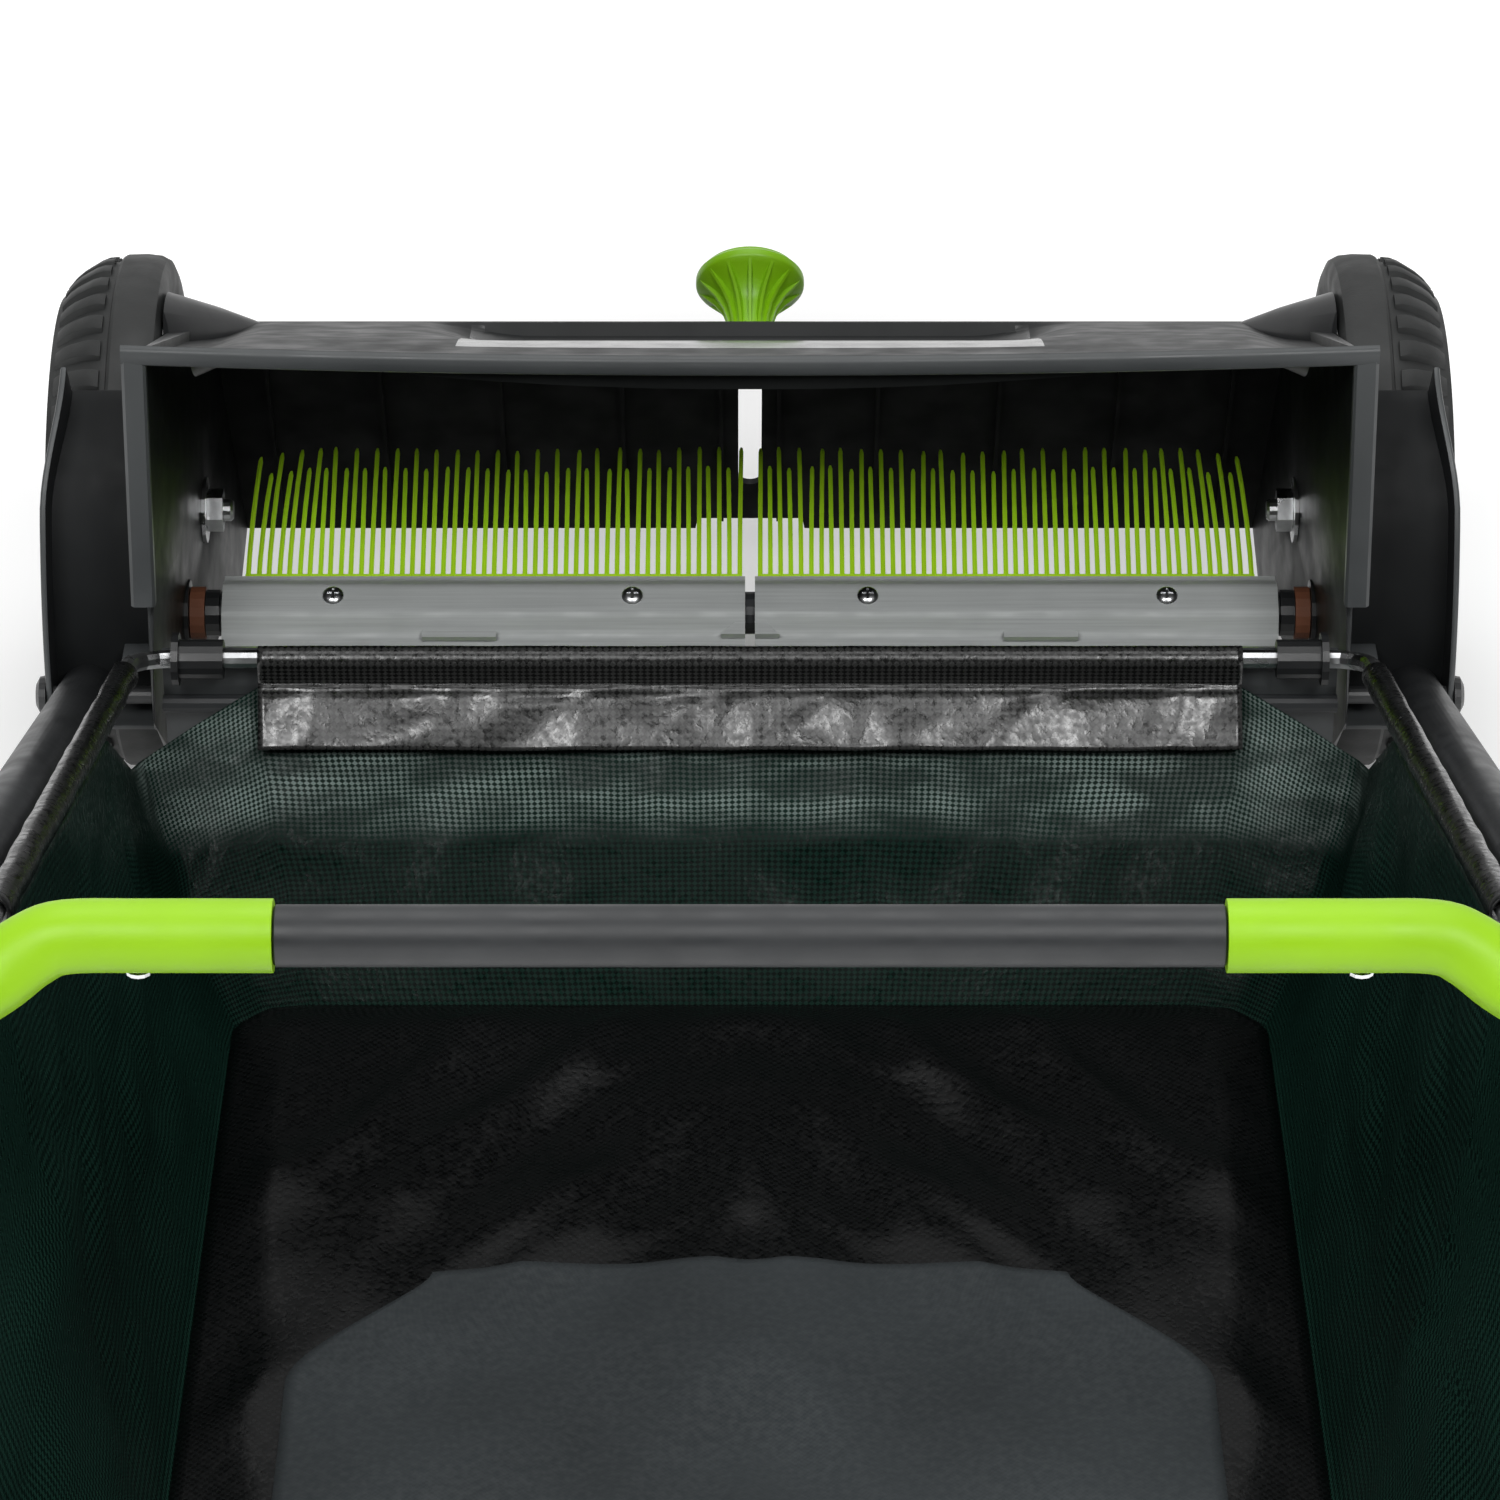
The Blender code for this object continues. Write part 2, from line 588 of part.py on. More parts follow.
def bag_loop(top, inset):
    # Corner points of the bag, at its rim or at its floor, out along one side and back along the other
    if top:
        front = (ROD_HALF - 0.002, ROD_FRONT[0] - inset, ROD_FRONT[1] - BAG_FRONT_DROP)
        middle = (ROD_HALF - 0.002, BAG_SIDE_END[0], BAG_SIDE_END[1])
        rear = (BAG_LIP_HALF, BAG_LIP[0] + inset, BAG_LIP[1])
    else:
        level = BAG_SKIN if inset else 0.0
        front = (BAG_FLOOR_HALF, BAG_FLOOR_FRONT - inset, level)
        middle = (BAG_FLOOR_HALF, BAG_SIDE_END[0], level)
        rear = (BAG_FLOOR_HALF - 0.006, BAG_FLOOR_REAR + inset, level)
    side = [(x - inset, y, z) for x, y, z in (front, middle, rear)]
    return side + [(-x, y, z) for x, y, z in reversed(side)]


def add_bag():
    add_piece("bag_rod_frame", swept(rod_path(), ROD_R, 10), "zinc")
    bm = bmesh.new()
    loops = []
    for top, inset in ((False, 0.0), (True, 0.0), (True, BAG_SKIN), (False, BAG_SKIN)):
        loops.append([bm.verts.new(point) for point in bag_loop(top, inset)])
    bridge_rings(bm, loops)
    bmesh.ops.triangulate(bm, faces=bm.faces)
    add_piece("bag", bm, "green_cloth")
    front_y, front_z = ROD_FRONT
    slope = math.atan2(ROD_REAR[1] - front_z, front_y - ROD_REAR[0])
    for side, word in ((1, "right"), (-1, "left")):
        clip = [(0.2265, ROD_R + GAP), (0.2265, CLIP_R), (0.2455, CLIP_R), (0.2455, CLIP_R + 0.003)]
        clip += [(0.2485, CLIP_R + 0.003), (0.2485, ROD_R + GAP)]
        ring = turned(clip, 16, hollow=True)
        add_piece(word + "_rod_clip", mirrored(ring, side), "black_plastic", (0, front_y, front_z))
        hook = box((HOOK_X[0], -HOOK_LENGTH / 2, 0), (HOOK_X[1], HOOK_LENGTH / 2, HOOK_THICK))
        hook.transform(Matrix.Translation((0, *HOOK_SPOT)) @ Matrix.Rotation(-slope, 4, "X"))
        add_piece(word + "_rod_hook", mirrored(hook, side), "black_plastic")


def add_stay_and_pan():
    stay = [(-HOOD_HALF + WALL + GAP, 0.004), (HOOD_HALF - WALL - GAP, 0.004)]
    add_piece("lower_stay", turned(stay, 12), "black_tube", (0, *STAY))
    pan = [PAN_TOP, PAN_FOOT, (PAN_FOOT[0] - PAN_THICK, PAN_FOOT[1]), (PAN_TOP[0] - PAN_THICK, PAN_TOP[1])]
    half = HOOD_HALF - WALL - GAP
    add_piece("rear_pan", prism_x(pan, -half, half), "black_plastic")


def add_adjuster():
    out = WALL * 0.2
    plate = 0.003
    arm_in, arm_out = 0.036, 0.054
    head, foot_end = 0.020, CARRIAGE_LENGTH - 0.030
    outline = [(-arm_out, -head), (arm_out, -head), (arm_out, foot_end), (arm_in, foot_end)]
    outline += [(arm_in, head), (-arm_in, head), (-arm_in, foot_end), (-arm_out, foot_end)]
    bm = bmesh.new()
    rings = [[bm.verts.new((x, y, z)) for x, y in outline] for z in (0, plate)]
    bridge_rings(bm, rings)
    bm.transform(front_matrix(KNOB_DROP, out + GAP))
    carriage = add_piece("height_carriage", bm, "black_plastic")
    drill = turned([(-0.01, 0.0046), (0.01, 0.0046)], 16, axis="Z")
    drill.transform(front_matrix(KNOB_DROP, 0))
    use_cutter(carriage, add_cutter("carriage_hole", drill))
    for side, word in ((1, "right"), (-1, "left")):
        foot = [(0.0, 0.0), (0.010, 0.0), (0.016, 0.006), (0.016, 0.014), (0.010, 0.020), (0.0, 0.020)]
        skid = bmesh.new()
        low, high = sorted((side * arm_in, side * arm_out))
        rings = [[skid.verts.new((x, foot_end - a, h + plate + GAP)) for h, a in foot] for x in (low, high)]
        bridge_rings(skid, rings)
        skid.transform(front_matrix(KNOB_DROP, out + GAP))
        add_piece(word + "_skid", skid, "black_plastic")

    bolt = [(-0.0085, 0.0090), (-0.0050, 0.0095), (-0.0050, 0.0042), (0.0160, 0.0042)]
    stud = turned(bolt, 16, axis="Z")
    stud.transform(front_matrix(KNOB_DROP, 0))
    add_piece("clamp_bolt", stud, "zinc")
    profile = [
        (plate + out + 3 * GAP, 0.0115), (0.0120, 0.0095), (0.0220, 0.0095), (0.0300, 0.0125), (0.0370, 0.0185),
        (0.0410, KNOB_R), (0.0450, KNOB_R), (0.0485, 0.0215), (0.0505, 0.0120),
    ]
    knob = turned(profile, 22, axis="Z")
    knob.transform(front_matrix(KNOB_DROP, 0))
    piece = add_piece("knob", knob, "lime_plastic")
    pocket = turned([(-0.004, 0.0045), (0.0165, 0.0045)], 16, axis="Z")
    pocket.transform(front_matrix(KNOB_DROP, 0))
    use_cutter(piece, add_cutter("knob_pocket", pocket))


add_hood()
for side_sign, side_word in ((1, "right"), (-1, "left")):
    add_guard(side_sign, side_word)
    add_wheel(side_sign, side_word)
    add_axle(side_sign, side_word)
add_brush()
add_handle()
add_bag()
add_stay_and_pan()
add_adjuster()
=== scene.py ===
import math
import random

import bmesh
import bpy
from mathutils import Matrix, Vector, noise


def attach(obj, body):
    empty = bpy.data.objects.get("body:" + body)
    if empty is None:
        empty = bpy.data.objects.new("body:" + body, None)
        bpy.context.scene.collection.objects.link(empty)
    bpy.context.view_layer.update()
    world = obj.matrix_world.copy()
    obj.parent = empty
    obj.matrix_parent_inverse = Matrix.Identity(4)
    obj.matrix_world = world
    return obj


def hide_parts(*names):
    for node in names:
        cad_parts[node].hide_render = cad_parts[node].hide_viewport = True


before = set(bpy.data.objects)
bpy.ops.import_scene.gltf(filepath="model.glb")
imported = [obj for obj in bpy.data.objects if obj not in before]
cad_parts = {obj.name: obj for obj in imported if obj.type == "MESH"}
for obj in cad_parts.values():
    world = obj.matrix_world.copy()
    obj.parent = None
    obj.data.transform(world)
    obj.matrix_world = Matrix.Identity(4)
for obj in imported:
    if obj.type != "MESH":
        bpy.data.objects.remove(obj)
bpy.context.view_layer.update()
axleY, axleZ = 0.354185, 0.116  # wheel axle
axleShift = Vector((0, axleY, 0))  # lengthways measures below start at the axle
brushAxis = (-0.060513, 0.095164)
random.seed(7)
print("frame loaded:", len(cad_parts), "solids")


# small helpers for the modelling below

def easeBetween(low, high, value):
    share = min(1, max(0, (value - low) / (high - low)))
    return share * share * (3 - 2 * share)


def shares(count):
    return [k / count for k in range(count + 1)]


def editAll():
    bpy.ops.object.mode_set(mode="EDIT")
    bpy.ops.mesh.select_all(action="SELECT")


def ringObject(name, count, fill):
    bpy.ops.object.select_all(action="DESELECT")
    bpy.ops.mesh.primitive_circle_add(vertices=count, radius=1, fill_type=fill)
    piece = bpy.context.object
    piece.name = name
    piece.data.name = name
    return piece


def cleanShell(piece):
    editAll()
    bpy.ops.mesh.remove_doubles(threshold=0.00001)
    bpy.ops.mesh.normals_make_consistent(inside=False)
    bpy.ops.object.mode_set(mode="OBJECT")


def placeEndFace(piece, ring):
    shell = bmesh.from_edit_mesh(piece.data)
    endFace = next(face for face in shell.faces if face.select)
    for vert, spot in zip(endFace.verts, ring):
        vert.co = spot
    bmesh.update_edit_mesh(piece.data)


def loftSections(name, sections):
    # one filled outline, its end face extruded from section to section
    piece = ringObject(name, len(sections[0]), "NGON")
    editAll()
    placeEndFace(piece, sections[0])
    for section in sections[1:]:
        bpy.ops.mesh.extrude_region_move()
        placeEndFace(piece, section)
    cleanShell(piece)
    return piece


def spinProfile(name, profile, steps, centre):
    # profile of (x, radius), spun round the x axis through centre
    piece = ringObject(name, len(profile), "NOTHING")
    for vert, (x, radius) in zip(piece.data.vertices, profile):
        vert.co = (x, centre[0], centre[1] + radius)
    editAll()
    bpy.ops.mesh.spin(steps=steps, angle=math.tau, center=(0, *centre), axis=(1, 0, 0))
    cleanShell(piece)
    return piece


def spinCopies(piece, count, centre):
    # the active piece, repeated round the x axis through centre
    editAll()
    bpy.ops.mesh.spin(steps=count, angle=math.tau, center=(0, *centre), axis=(1, 0, 0), dupli=True)
    cleanShell(piece)
    return piece


def sweptRings(path, radii, sides):
    # round sections square to a path, turned as little as possible
    spots = [Vector(p) for p in path]
    rings, normal = [], None
    for i, (spot, radius) in enumerate(zip(spots, radii)):
        ahead = (spots[min(i + 1, len(spots) - 1)] - spots[max(i - 1, 0)]).normalized()
        normal = ahead.orthogonal() if normal is None else normal
        normal = (normal - ahead * normal.dot(ahead)).normalized()
        across = ahead.cross(normal)
        ring = []
        for k in range(sides):
            turn = math.tau * k / sides
            ring.append(spot + radius * (math.cos(turn) * normal + math.sin(turn) * across))
        rings.append(ring)
    return rings


def smoothPath(points, steps):
    # a rounded line through the points
    spots = [Vector(p) for p in points]
    ends = [2 * spots[0] - spots[1], *spots, 2 * spots[-1] - spots[-2]]
    line = []
    for i in range(1, len(ends) - 2):
        a, b, c, d = ends[i - 1:i + 3]
        for k in range(steps):
            t = k / steps
            line.append(0.5 * (2 * b + (c - a) * t + (2 * a - 5 * b + 4 * c - d) * t * t
                               + (3 * b - a - 3 * c + d) * t ** 3))
    line.append(spots[-1])
    return line


def pick(*pieces):
    bpy.ops.object.select_all(action="DESELECT")
    for piece in pieces:
        piece.select_set(True)
    bpy.context.view_layer.objects.active = pieces[0]


def applyModifier(piece, kind, **settings):
    modifier = piece.modifiers.new(kind.title(), kind)
    for key, value in settings.items():
        setattr(modifier, key, value)
    pick(piece)
    bpy.ops.object.modifier_apply(modifier=modifier.name)


def softenEdges(piece, width, segments, degrees):
    limit = math.radians(degrees)
    applyModifier(piece, "BEVEL", width=width, segments=segments, limit_method="ANGLE", angle_limit=limit)


def cutWith(piece, cutter):
    applyModifier(piece, "BOOLEAN", object=cutter, operation="DIFFERENCE", solver="EXACT")
    bpy.data.objects.remove(cutter, do_unlink=True)


def joinPieces(name, pieces):
    pick(*pieces)
    bpy.ops.object.join()
    pieces[0].name = name
    pieces[0].data.name = name
    return pieces[0]


def mirrorCopy(piece, name):
    other = piece.copy()
    other.data = piece.data.copy()
    other.name = name
    other.data.name = name
    bpy.context.collection.objects.link(other)
    other.data.transform(Matrix.Scale(-1, 4, (1, 0, 0)))
    other.data.flip_normals()
    return other


def dress(piece, material, body, nodes=(), degrees=None):
    piece.data.materials.clear()
    piece.data.materials.append(material)
    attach(piece, body)
    if nodes:
        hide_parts(*nodes)
    if degrees:
        pick(piece)
        bpy.ops.object.shade_smooth_by_angle(angle=math.radians(degrees))


def dressPair(piece, material, body, nodeName, degrees):
    # a right-hand piece and its mirror copy; body may have a gap for the side's word
    pair = (piece, mirrorCopy(piece, piece.name.replace("right", "left")))
    for each, word in zip(pair, ("right", "left")):
        dress(each, material, body.format(word), [word + "_" + nodeName] if nodeName else (), degrees)
    return pair


# finishes

def newFinish(name):
    finish = bpy.data.materials.new(name)
    finish.use_nodes = True
    tree = finish.node_tree
    return finish, tree, tree.nodes["Principled BSDF"]


def setSockets(tree, node, sockets):
    # each socket is linked, or set to a value
    for key, value in sockets.items():
        if isinstance(value, bpy.types.NodeSocket):
            tree.links.new(value, node.inputs[key])
        else:
            node.inputs[key].default_value = value


def addNode(tree, kind, sockets, **settings):
    node = tree.nodes.new("ShaderNode" + kind)
    for key, value in settings.items():
        setattr(node, key, value)
    setSockets(tree, node, sockets)
    return node


def objectCoords(tree):
    return addNode(tree, "TexCoord", {}).outputs["Object"]


def noiseOn(tree, coords, scale, detail=3.0, rough=0.5):
    sockets = {"Vector": coords, "Scale": scale, "Detail": detail, "Roughness": rough}
    return addNode(tree, "TexNoise", sockets).outputs["Fac"]


def rampOf(tree, value, low, high, lowColour, highColour):
    ramp = addNode(tree, "ValToRGB", {"Fac": value})
    for stop, position, colour in zip(ramp.color_ramp.elements, (low, high), (lowColour, highColour)):
        stop.position = position
        stop.color = (*colour, 1)
    return ramp.outputs["Color"]


def rangeOf(tree, value, low, high, span=(0.3, 0.7), **settings):
    sockets = {"Value": value, "From Min": span[0], "From Max": span[1], "To Min": low, "To Max": high}
    return addNode(tree, "MapRange", sockets, **settings).outputs["Result"]


def mathOf(tree, operation, first, second):
    return addNode(tree, "Math", {0: first, 1: second}, operation=operation).outputs["Value"]


def mixOf(tree, blend, share, first, second):
    sockets = {"Factor": share, "A": first, "B": second}
    return addNode(tree, "Mix", sockets, data_type="RGBA", blend_type=blend).outputs["Result"]


def bumpOf(tree, height, strength, distance):
    sockets = {"Height": height, "Strength": strength, "Distance": distance}
    return addNode(tree, "Bump", sockets).outputs["Normal"]


def mouldedFinish(name, colour, spread, rough, grain, grainScale=1400, shine=0.5):
    # plastic, rubber, paint and dark steel: soft cloudiness, uneven gloss and a fine grain
    finish, tree, shader = newFinish(name)
    coords = objectCoords(tree)
    dark, light = ([min(1, c * share) for c in colour] for share in (1 - spread, 1 + spread))
    setSockets(tree, shader, {
        "Base Color": rampOf(tree, noiseOn(tree, coords, 16, 4), 0.3, 0.7, dark, light),
        "Roughness": rangeOf(tree, noiseOn(tree, coords, 55, 5), rough * 0.85, rough * 1.2),
        "Normal": bumpOf(tree, noiseOn(tree, coords, grainScale, 2), grain, 0.0003), "Specular IOR Level": shine})
    return finish


def brushedFinish(name, colour, rough, metal, stretch):
    # rolled or drawn metal: fine streaks along the work
    finish, tree, shader = newFinish(name)
    coords = objectCoords(tree)
    along = addNode(tree, "Mapping", {"Vector": coords, "Scale": stretch}).outputs["Vector"]
    streaks = noiseOn(tree, along, 1.0, 4, 0.6)
    dark, light = ([min(1, c * share) for c in colour] for share in (0.88, 1.08))
    setSockets(tree, shader, {
        "Base Color": rampOf(tree, streaks, 0.3, 0.72, dark, light),
        "Roughness": rangeOf(tree, noiseOn(tree, coords, 70, 5), rough * 0.75, rough * 1.35),
        "Normal": bumpOf(tree, streaks, 0.05, 0.0002), "Metallic": metal})
    return finish


def paintedGlintBand(tree, coords, strip):
    # painted light on the cloth: slanting patches of painted glints near the top of the front wall, and a painted
    # shade scale along the bag, the front wall darker and the side walls lighter
    spot = addNode(tree, "SeparateXYZ", {"Vector": coords}).outputs
    slant = {"Vector": coords, "Rotation": (0, math.radians(38), 0), "Scale": (0.55, 1, 1.7)}
    patches = noiseOn(tree, addNode(tree, "Mapping", slant).outputs["Vector"], 44, 3, 0.55)
    share = rampOf(tree, patches, 0.40, 0.62, (0.28, 0.28, 0.28), (1, 1, 1))
    for axis in ("Y", "Z"):
        edge = rangeOf(tree, spot[axis], 0, 1, strip[axis], interpolation_type="SMOOTHSTEP")
        share = mathOf(tree, "MULTIPLY", share, edge)
    # the second value is painted shade and light: the cloth's colour scaled 1.6 along the side walls and 0.9 on the
    # front wall
    return share, rangeOf(tree, spot["Y"], *strip["depth"], strip["paintedShadeY"])


def wovenFinish(name, colour, tape, rough, shine, relief, turn=0, strip=None, contrast=0.6):
    # flat tape weave on the cloth's own map, in metres
    finish, tree, shader = newFinish(name)
    coords = objectCoords(tree)
    clothMap = addNode(tree, "UVMap", {}, uv_map="clothMap").outputs["UV"]
    place = addNode(tree, "Mapping", {"Vector": clothMap, "Rotation": (0, 0, math.radians(turn))})
    dark, light = ((*[c * share for c in colour], 1) for share in (1 - contrast, 1 + contrast))
    tapes = {"Vector": place.outputs["Vector"], "Scale": 1 / tape, "Color1": dark, "Color2": light}
    weave = addNode(tree, "TexChecker", tapes).outputs
    wear = rampOf(tree, noiseOn(tree, coords, 9, 4), 0.3, 0.7, (0.45, 0.45, 0.45), (1, 1, 1))
    tint = mixOf(tree, "MULTIPLY", 0.6, weave["Color"], wear)
    if strip:
        share, depth = paintedGlintBand(tree, coords, strip)
        # painted shade and light: the cloth's colour scaled along the bag, lighter on the side walls and darker on
        # the front wall
        tint = addNode(tree, "VectorMath", {"Vector": tint, "Scale": depth}, operation="SCALE").outputs["Vector"]
        # painted glints: a lighter colour added on the weave's light cells inside the front wall's band
        tint = mixOf(tree, "ADD", mathOf(tree, "MULTIPLY", share, weave["Fac"]), tint, (*strip["glintColour"], 1))
    glints = noiseOn(tree, coords, 300, 2)
    threads = mathOf(tree, "SUBTRACT", rangeOf(tree, glints, 0, 0.35), weave["Fac"])
    setSockets(tree, shader, {
        "Base Color": tint, "Roughness": rangeOf(tree, glints, rough * 0.6, rough * 1.35),
        "Normal": bumpOf(tree, threads, relief, 0.0006), "Specular IOR Level": shine})
    return finish


blackPlastic = mouldedFinish("blackPlastic", (0.0135, 0.0142, 0.0150), 0.25, 0.36, 0.10, shine=0.4)
glossPlastic = mouldedFinish("glossPlastic", (0.0125, 0.0135, 0.0140), 0.20, 0.22, 0.04, shine=0.43)
roofPlastic = mouldedFinish("roofPlastic", (0.0125, 0.0135, 0.0140), 0.22, 0.50, 0.10, shine=0.23)
# a darker, duller copy of the black plastic for faces inside the hood: the rougher, duller gloss is the moulding's,
# the darker colour is painted shade
innerShadePlastic = mouldedFinish("innerShadePlastic", (0.0080, 0.0090, 0.0088), 0.25, 0.66, 0.10, shine=0.10)
# a darker, duller copy of the black plastic for the cheeks' inner faces, as painted shade
cheekShadePlastic = mouldedFinish("cheekShadePlastic", (0.0085, 0.0100, 0.0092), 0.25, 0.40, 0.08, shine=0.13)
darkSteel = mouldedFinish("darkSteel", (0.020, 0.021, 0.022), 0.20, 0.40, 0.08, shine=0.5)
# lighter grey plastic for the rim band, side lips and rear pan; on the guards it is also a painted highlight on
# rolled edges, shelf and lip
rimPlastic = mouldedFinish("rimPlastic", (0.0500, 0.0545, 0.0565), 0.12, 0.42, 0.08, shine=0.5)
# a darker copy of the black plastic for the guards' hollows, as painted shade
guardHollowShade = mouldedFinish("guardHollowShade", (0.0105, 0.0115, 0.0120), 0.25, 0.50, 0.10, shine=0.12)
tyreRubber = mouldedFinish("tyreRubber", (0.0210, 0.0222, 0.0220), 0.35, 0.58, 0.25, grainScale=700, shine=0.4)
limePlastic = mouldedFinish("limePlastic", (0.270, 0.530, 0.006), 0.06, 0.46, 0.06, shine=0.35)
# a darker copy of the lime plastic for the knob, as painted shade
shadedLimeKnob = mouldedFinish("shadedLimeKnob", (0.175, 0.395, 0.003), 0.08, 0.40, 0.06, shine=0.4)
limeBristle = mouldedFinish("limeBristle", (0.42, 0.74, 0.018), 0.12, 0.40, 0.10, shine=0.3)
blackTube = mouldedFinish("blackTube", (0.019, 0.0208, 0.0225), 0.20, 0.46, 0.16, grainScale=500, shine=0.42)
# a darker, less glossy copy of the tube finish for the side tubes, whose light falls differently from the
# crossbar's: painted shade
shadedSideTube = mouldedFinish("shadedSideTube", (0.0145, 0.0160, 0.0172), 0.20, 0.46, 0.16, grainScale=500, shine=0.28)
fibreBrown = mouldedFinish("fibreBrown", (0.16, 0.055, 0.025), 0.35, 0.65, 0.30)
greySteel = brushedFinish("greySteel", (0.375, 0.392, 0.388), 0.58, 0.10, (14, 900, 900))
zincSteel = brushedFinish("zincSteel", (0.60, 0.61, 0.62), 0.28, 1.0, (160, 160, 160))
# the front wall's band of painted glints (Y and Z), the glint colour added there, and the painted shade and light
# along the bag
frontPaintedLight = {
    "Y": (axleY - 0.226, axleY - 0.200), "Z": (0.056, 0.072), "glintColour": (0.150, 0.190, 0.176),
    "paintedShadeY": (axleY - 0.30, axleY - 0.25), "depth": (1.6, 0.9),
}
greenWoven = wovenFinish("greenWoven", (0.0036, 0.0130, 0.0094), 0.0021, 0.34, 0.04, 0.50, 45, frontPaintedLight)
blackWoven = wovenFinish("blackWoven", (0.0030, 0.0034, 0.0036), 0.0018, 0.30, 0.18, 0.40)
# the sleeve is black cloth: the weave pattern is its own, but the raised base colour and stronger weave contrast
# are painted sheen and glints
sleeveSheenWoven = wovenFinish("sleeveSheenWoven", (0.0210, 0.0214, 0.0208), 0.0021, 0.30, 0.62, 0.35, 45, contrast=0.75)
greyWoven = wovenFinish("greyWoven", (0.034, 0.040, 0.043), 0.0012, 0.75, 0.20, 0.02, contrast=0.08)

slotFinish = {
    "black_plastic": blackPlastic, "tyre_rubber": tyreRubber, "lime_plastic": limePlastic,
    "lime_bristle": limeBristle, "black_tube": blackTube, "grey_steel": greySteel,
    "fibre": fibreBrown, "woven_cloth": greenWoven, "zinc_steel": zincSteel,
}
nodeSlots = {
    "tyre_rubber": ["tyre"], "lime_bristle": ["bristles"], "lime_plastic": ["hub_cap", "corner_joint", "knob"],
    "grey_steel": ["clamp_plate"], "black_tube": ["handle_tube", "crossbar", "brush_shaft", "lower_stay"],
    "fibre": ["fibre_washer"], "woven_cloth": ["bag"],
    "zinc_steel": [
        "bag_rod_frame", "axle", "axle_nut", "axle_washer", "pivot_bolt", "joint_screw", "plate_screw_1",
        "plate_screw_2", "clamp_bolt"],
}
for nodeName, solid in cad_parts.items():
    shortName = nodeName.split("_", 1)[1] if nodeName.startswith(("left_", "right_")) else nodeName
    fits = (slot for slot, names in nodeSlots.items() for name in names if ("_" + shortName).endswith("_" + name))
    slotName = next(fits, "black_plastic")
    solid.data.materials.clear()
    solid.data.materials.append(darkSteel if shortName == "pivot_bolt" else slotFinish[slotName])
print("finishes on every solid")


# camera and studio

studio = {
    "lens": 151.2, "sensor": 36, "eye": (0, -2.1976577, 1.4162288), "down": 29.181641,
    "roomGlow": (0.05, 0.75), "roomTurn": (-0.30, 0.70), "white": (1, 1, 1, 1),
    "floorSize": 14, "floorDrop": 0.0006, "floorColour": (0.80, 0.80, 0.80, 1), "floorRough": 0.9,
    # painted contact shadow on the floor: its centre, reach, and stops of reach share and glow
    "fadeFrom": (0, 0.50, 0), "fadeReach": 2.0, "fade": [(0.11, 0.06), (0.27, 0.60), (0.50, 0.64), (0.95, 1.0)],
}
bpy.ops.object.camera_add(location=studio["eye"], rotation=(math.radians(90 - studio["down"]), 0, 0))
camera = bpy.context.object
camera.data.sensor_width = studio["sensor"]
camera.data.sensor_fit = "HORIZONTAL"
camera.data.lens = studio["lens"]
bpy.context.scene.camera = camera
bpy.context.scene.view_settings.view_transform = "Standard"

for lampName, spot, size, power, tilt in (
    ("keyLamp", (-0.9, -2.0, 2.2), 0.9, 38, (48, 0, -21)),
    ("fillLamp", (0.9, -2.0, 2.2), 0.9, 38, (48, 0, 21)),
    ("topLamp", (0, 0.4, 2.4), 1.6, 22, (0, 0, 0)),
):
    bpy.ops.object.light_add(type="AREA", location=spot, rotation=[math.radians(a) for a in tilt])
    lamp = bpy.context.object
    lamp.name = lampName
    lamp.data.size = size
    lamp.data.energy = power


def whiteFor(tree):
    # 1 for what the camera, a reflection or a glass sees
    light = addNode(tree, "LightPath", {}).outputs
    seen = mathOf(tree, "MAXIMUM", light["Is Camera Ray"], light["Is Glossy Ray"])
    return mathOf(tree, "MAXIMUM", seen, light["Is Transmission Ray"])


# the backdrop is white to the camera and, ahead of the object, in reflections; the room behind it is dim
world = bpy.data.worlds.new("studioWorld")
bpy.context.scene.world = world
world.use_nodes = True
worldTree = world.node_tree
facing = addNode(worldTree, "SeparateXYZ", {"Vector": addNode(worldTree, "TexCoord", {}).outputs["Generated"]})
roomGlow = rangeOf(
    worldTree, facing.outputs["Y"], *studio["roomGlow"], studio["roomTurn"], interpolation_type="SMOOTHSTEP")
roomLight = worldTree.nodes["Background"]
setSockets(worldTree, roomLight, {"Color": studio["white"], "Strength": roomGlow})
whiteSky = addNode(worldTree, "Background", {"Color": studio["white"], "Strength": 1.0})
skyMix = addNode(worldTree, "MixShader", {
    "Fac": addNode(worldTree, "LightPath", {}).outputs["Is Camera Ray"],
    1: roomLight.outputs["Background"], 2: whiteSky.outputs["Background"]})
setSockets(worldTree, worldTree.nodes["World Output"], {"Surface": skyMix.outputs["Shader"]})

bpy.ops.object.select_all(action="DESELECT")
bpy.ops.mesh.primitive_grid_add(
    x_subdivisions=4, y_subdivisions=4, size=studio["floorSize"], location=(0, 0, -studio["floorDrop"]))
floor = bpy.context.object
floor.name = "studioFloor"
floorFinish, floorTree, floorShader = newFinish("paleFloor")
setSockets(floorTree, floorShader, {"Base Color": studio["floorColour"], "Roughness": studio["floorRough"]})
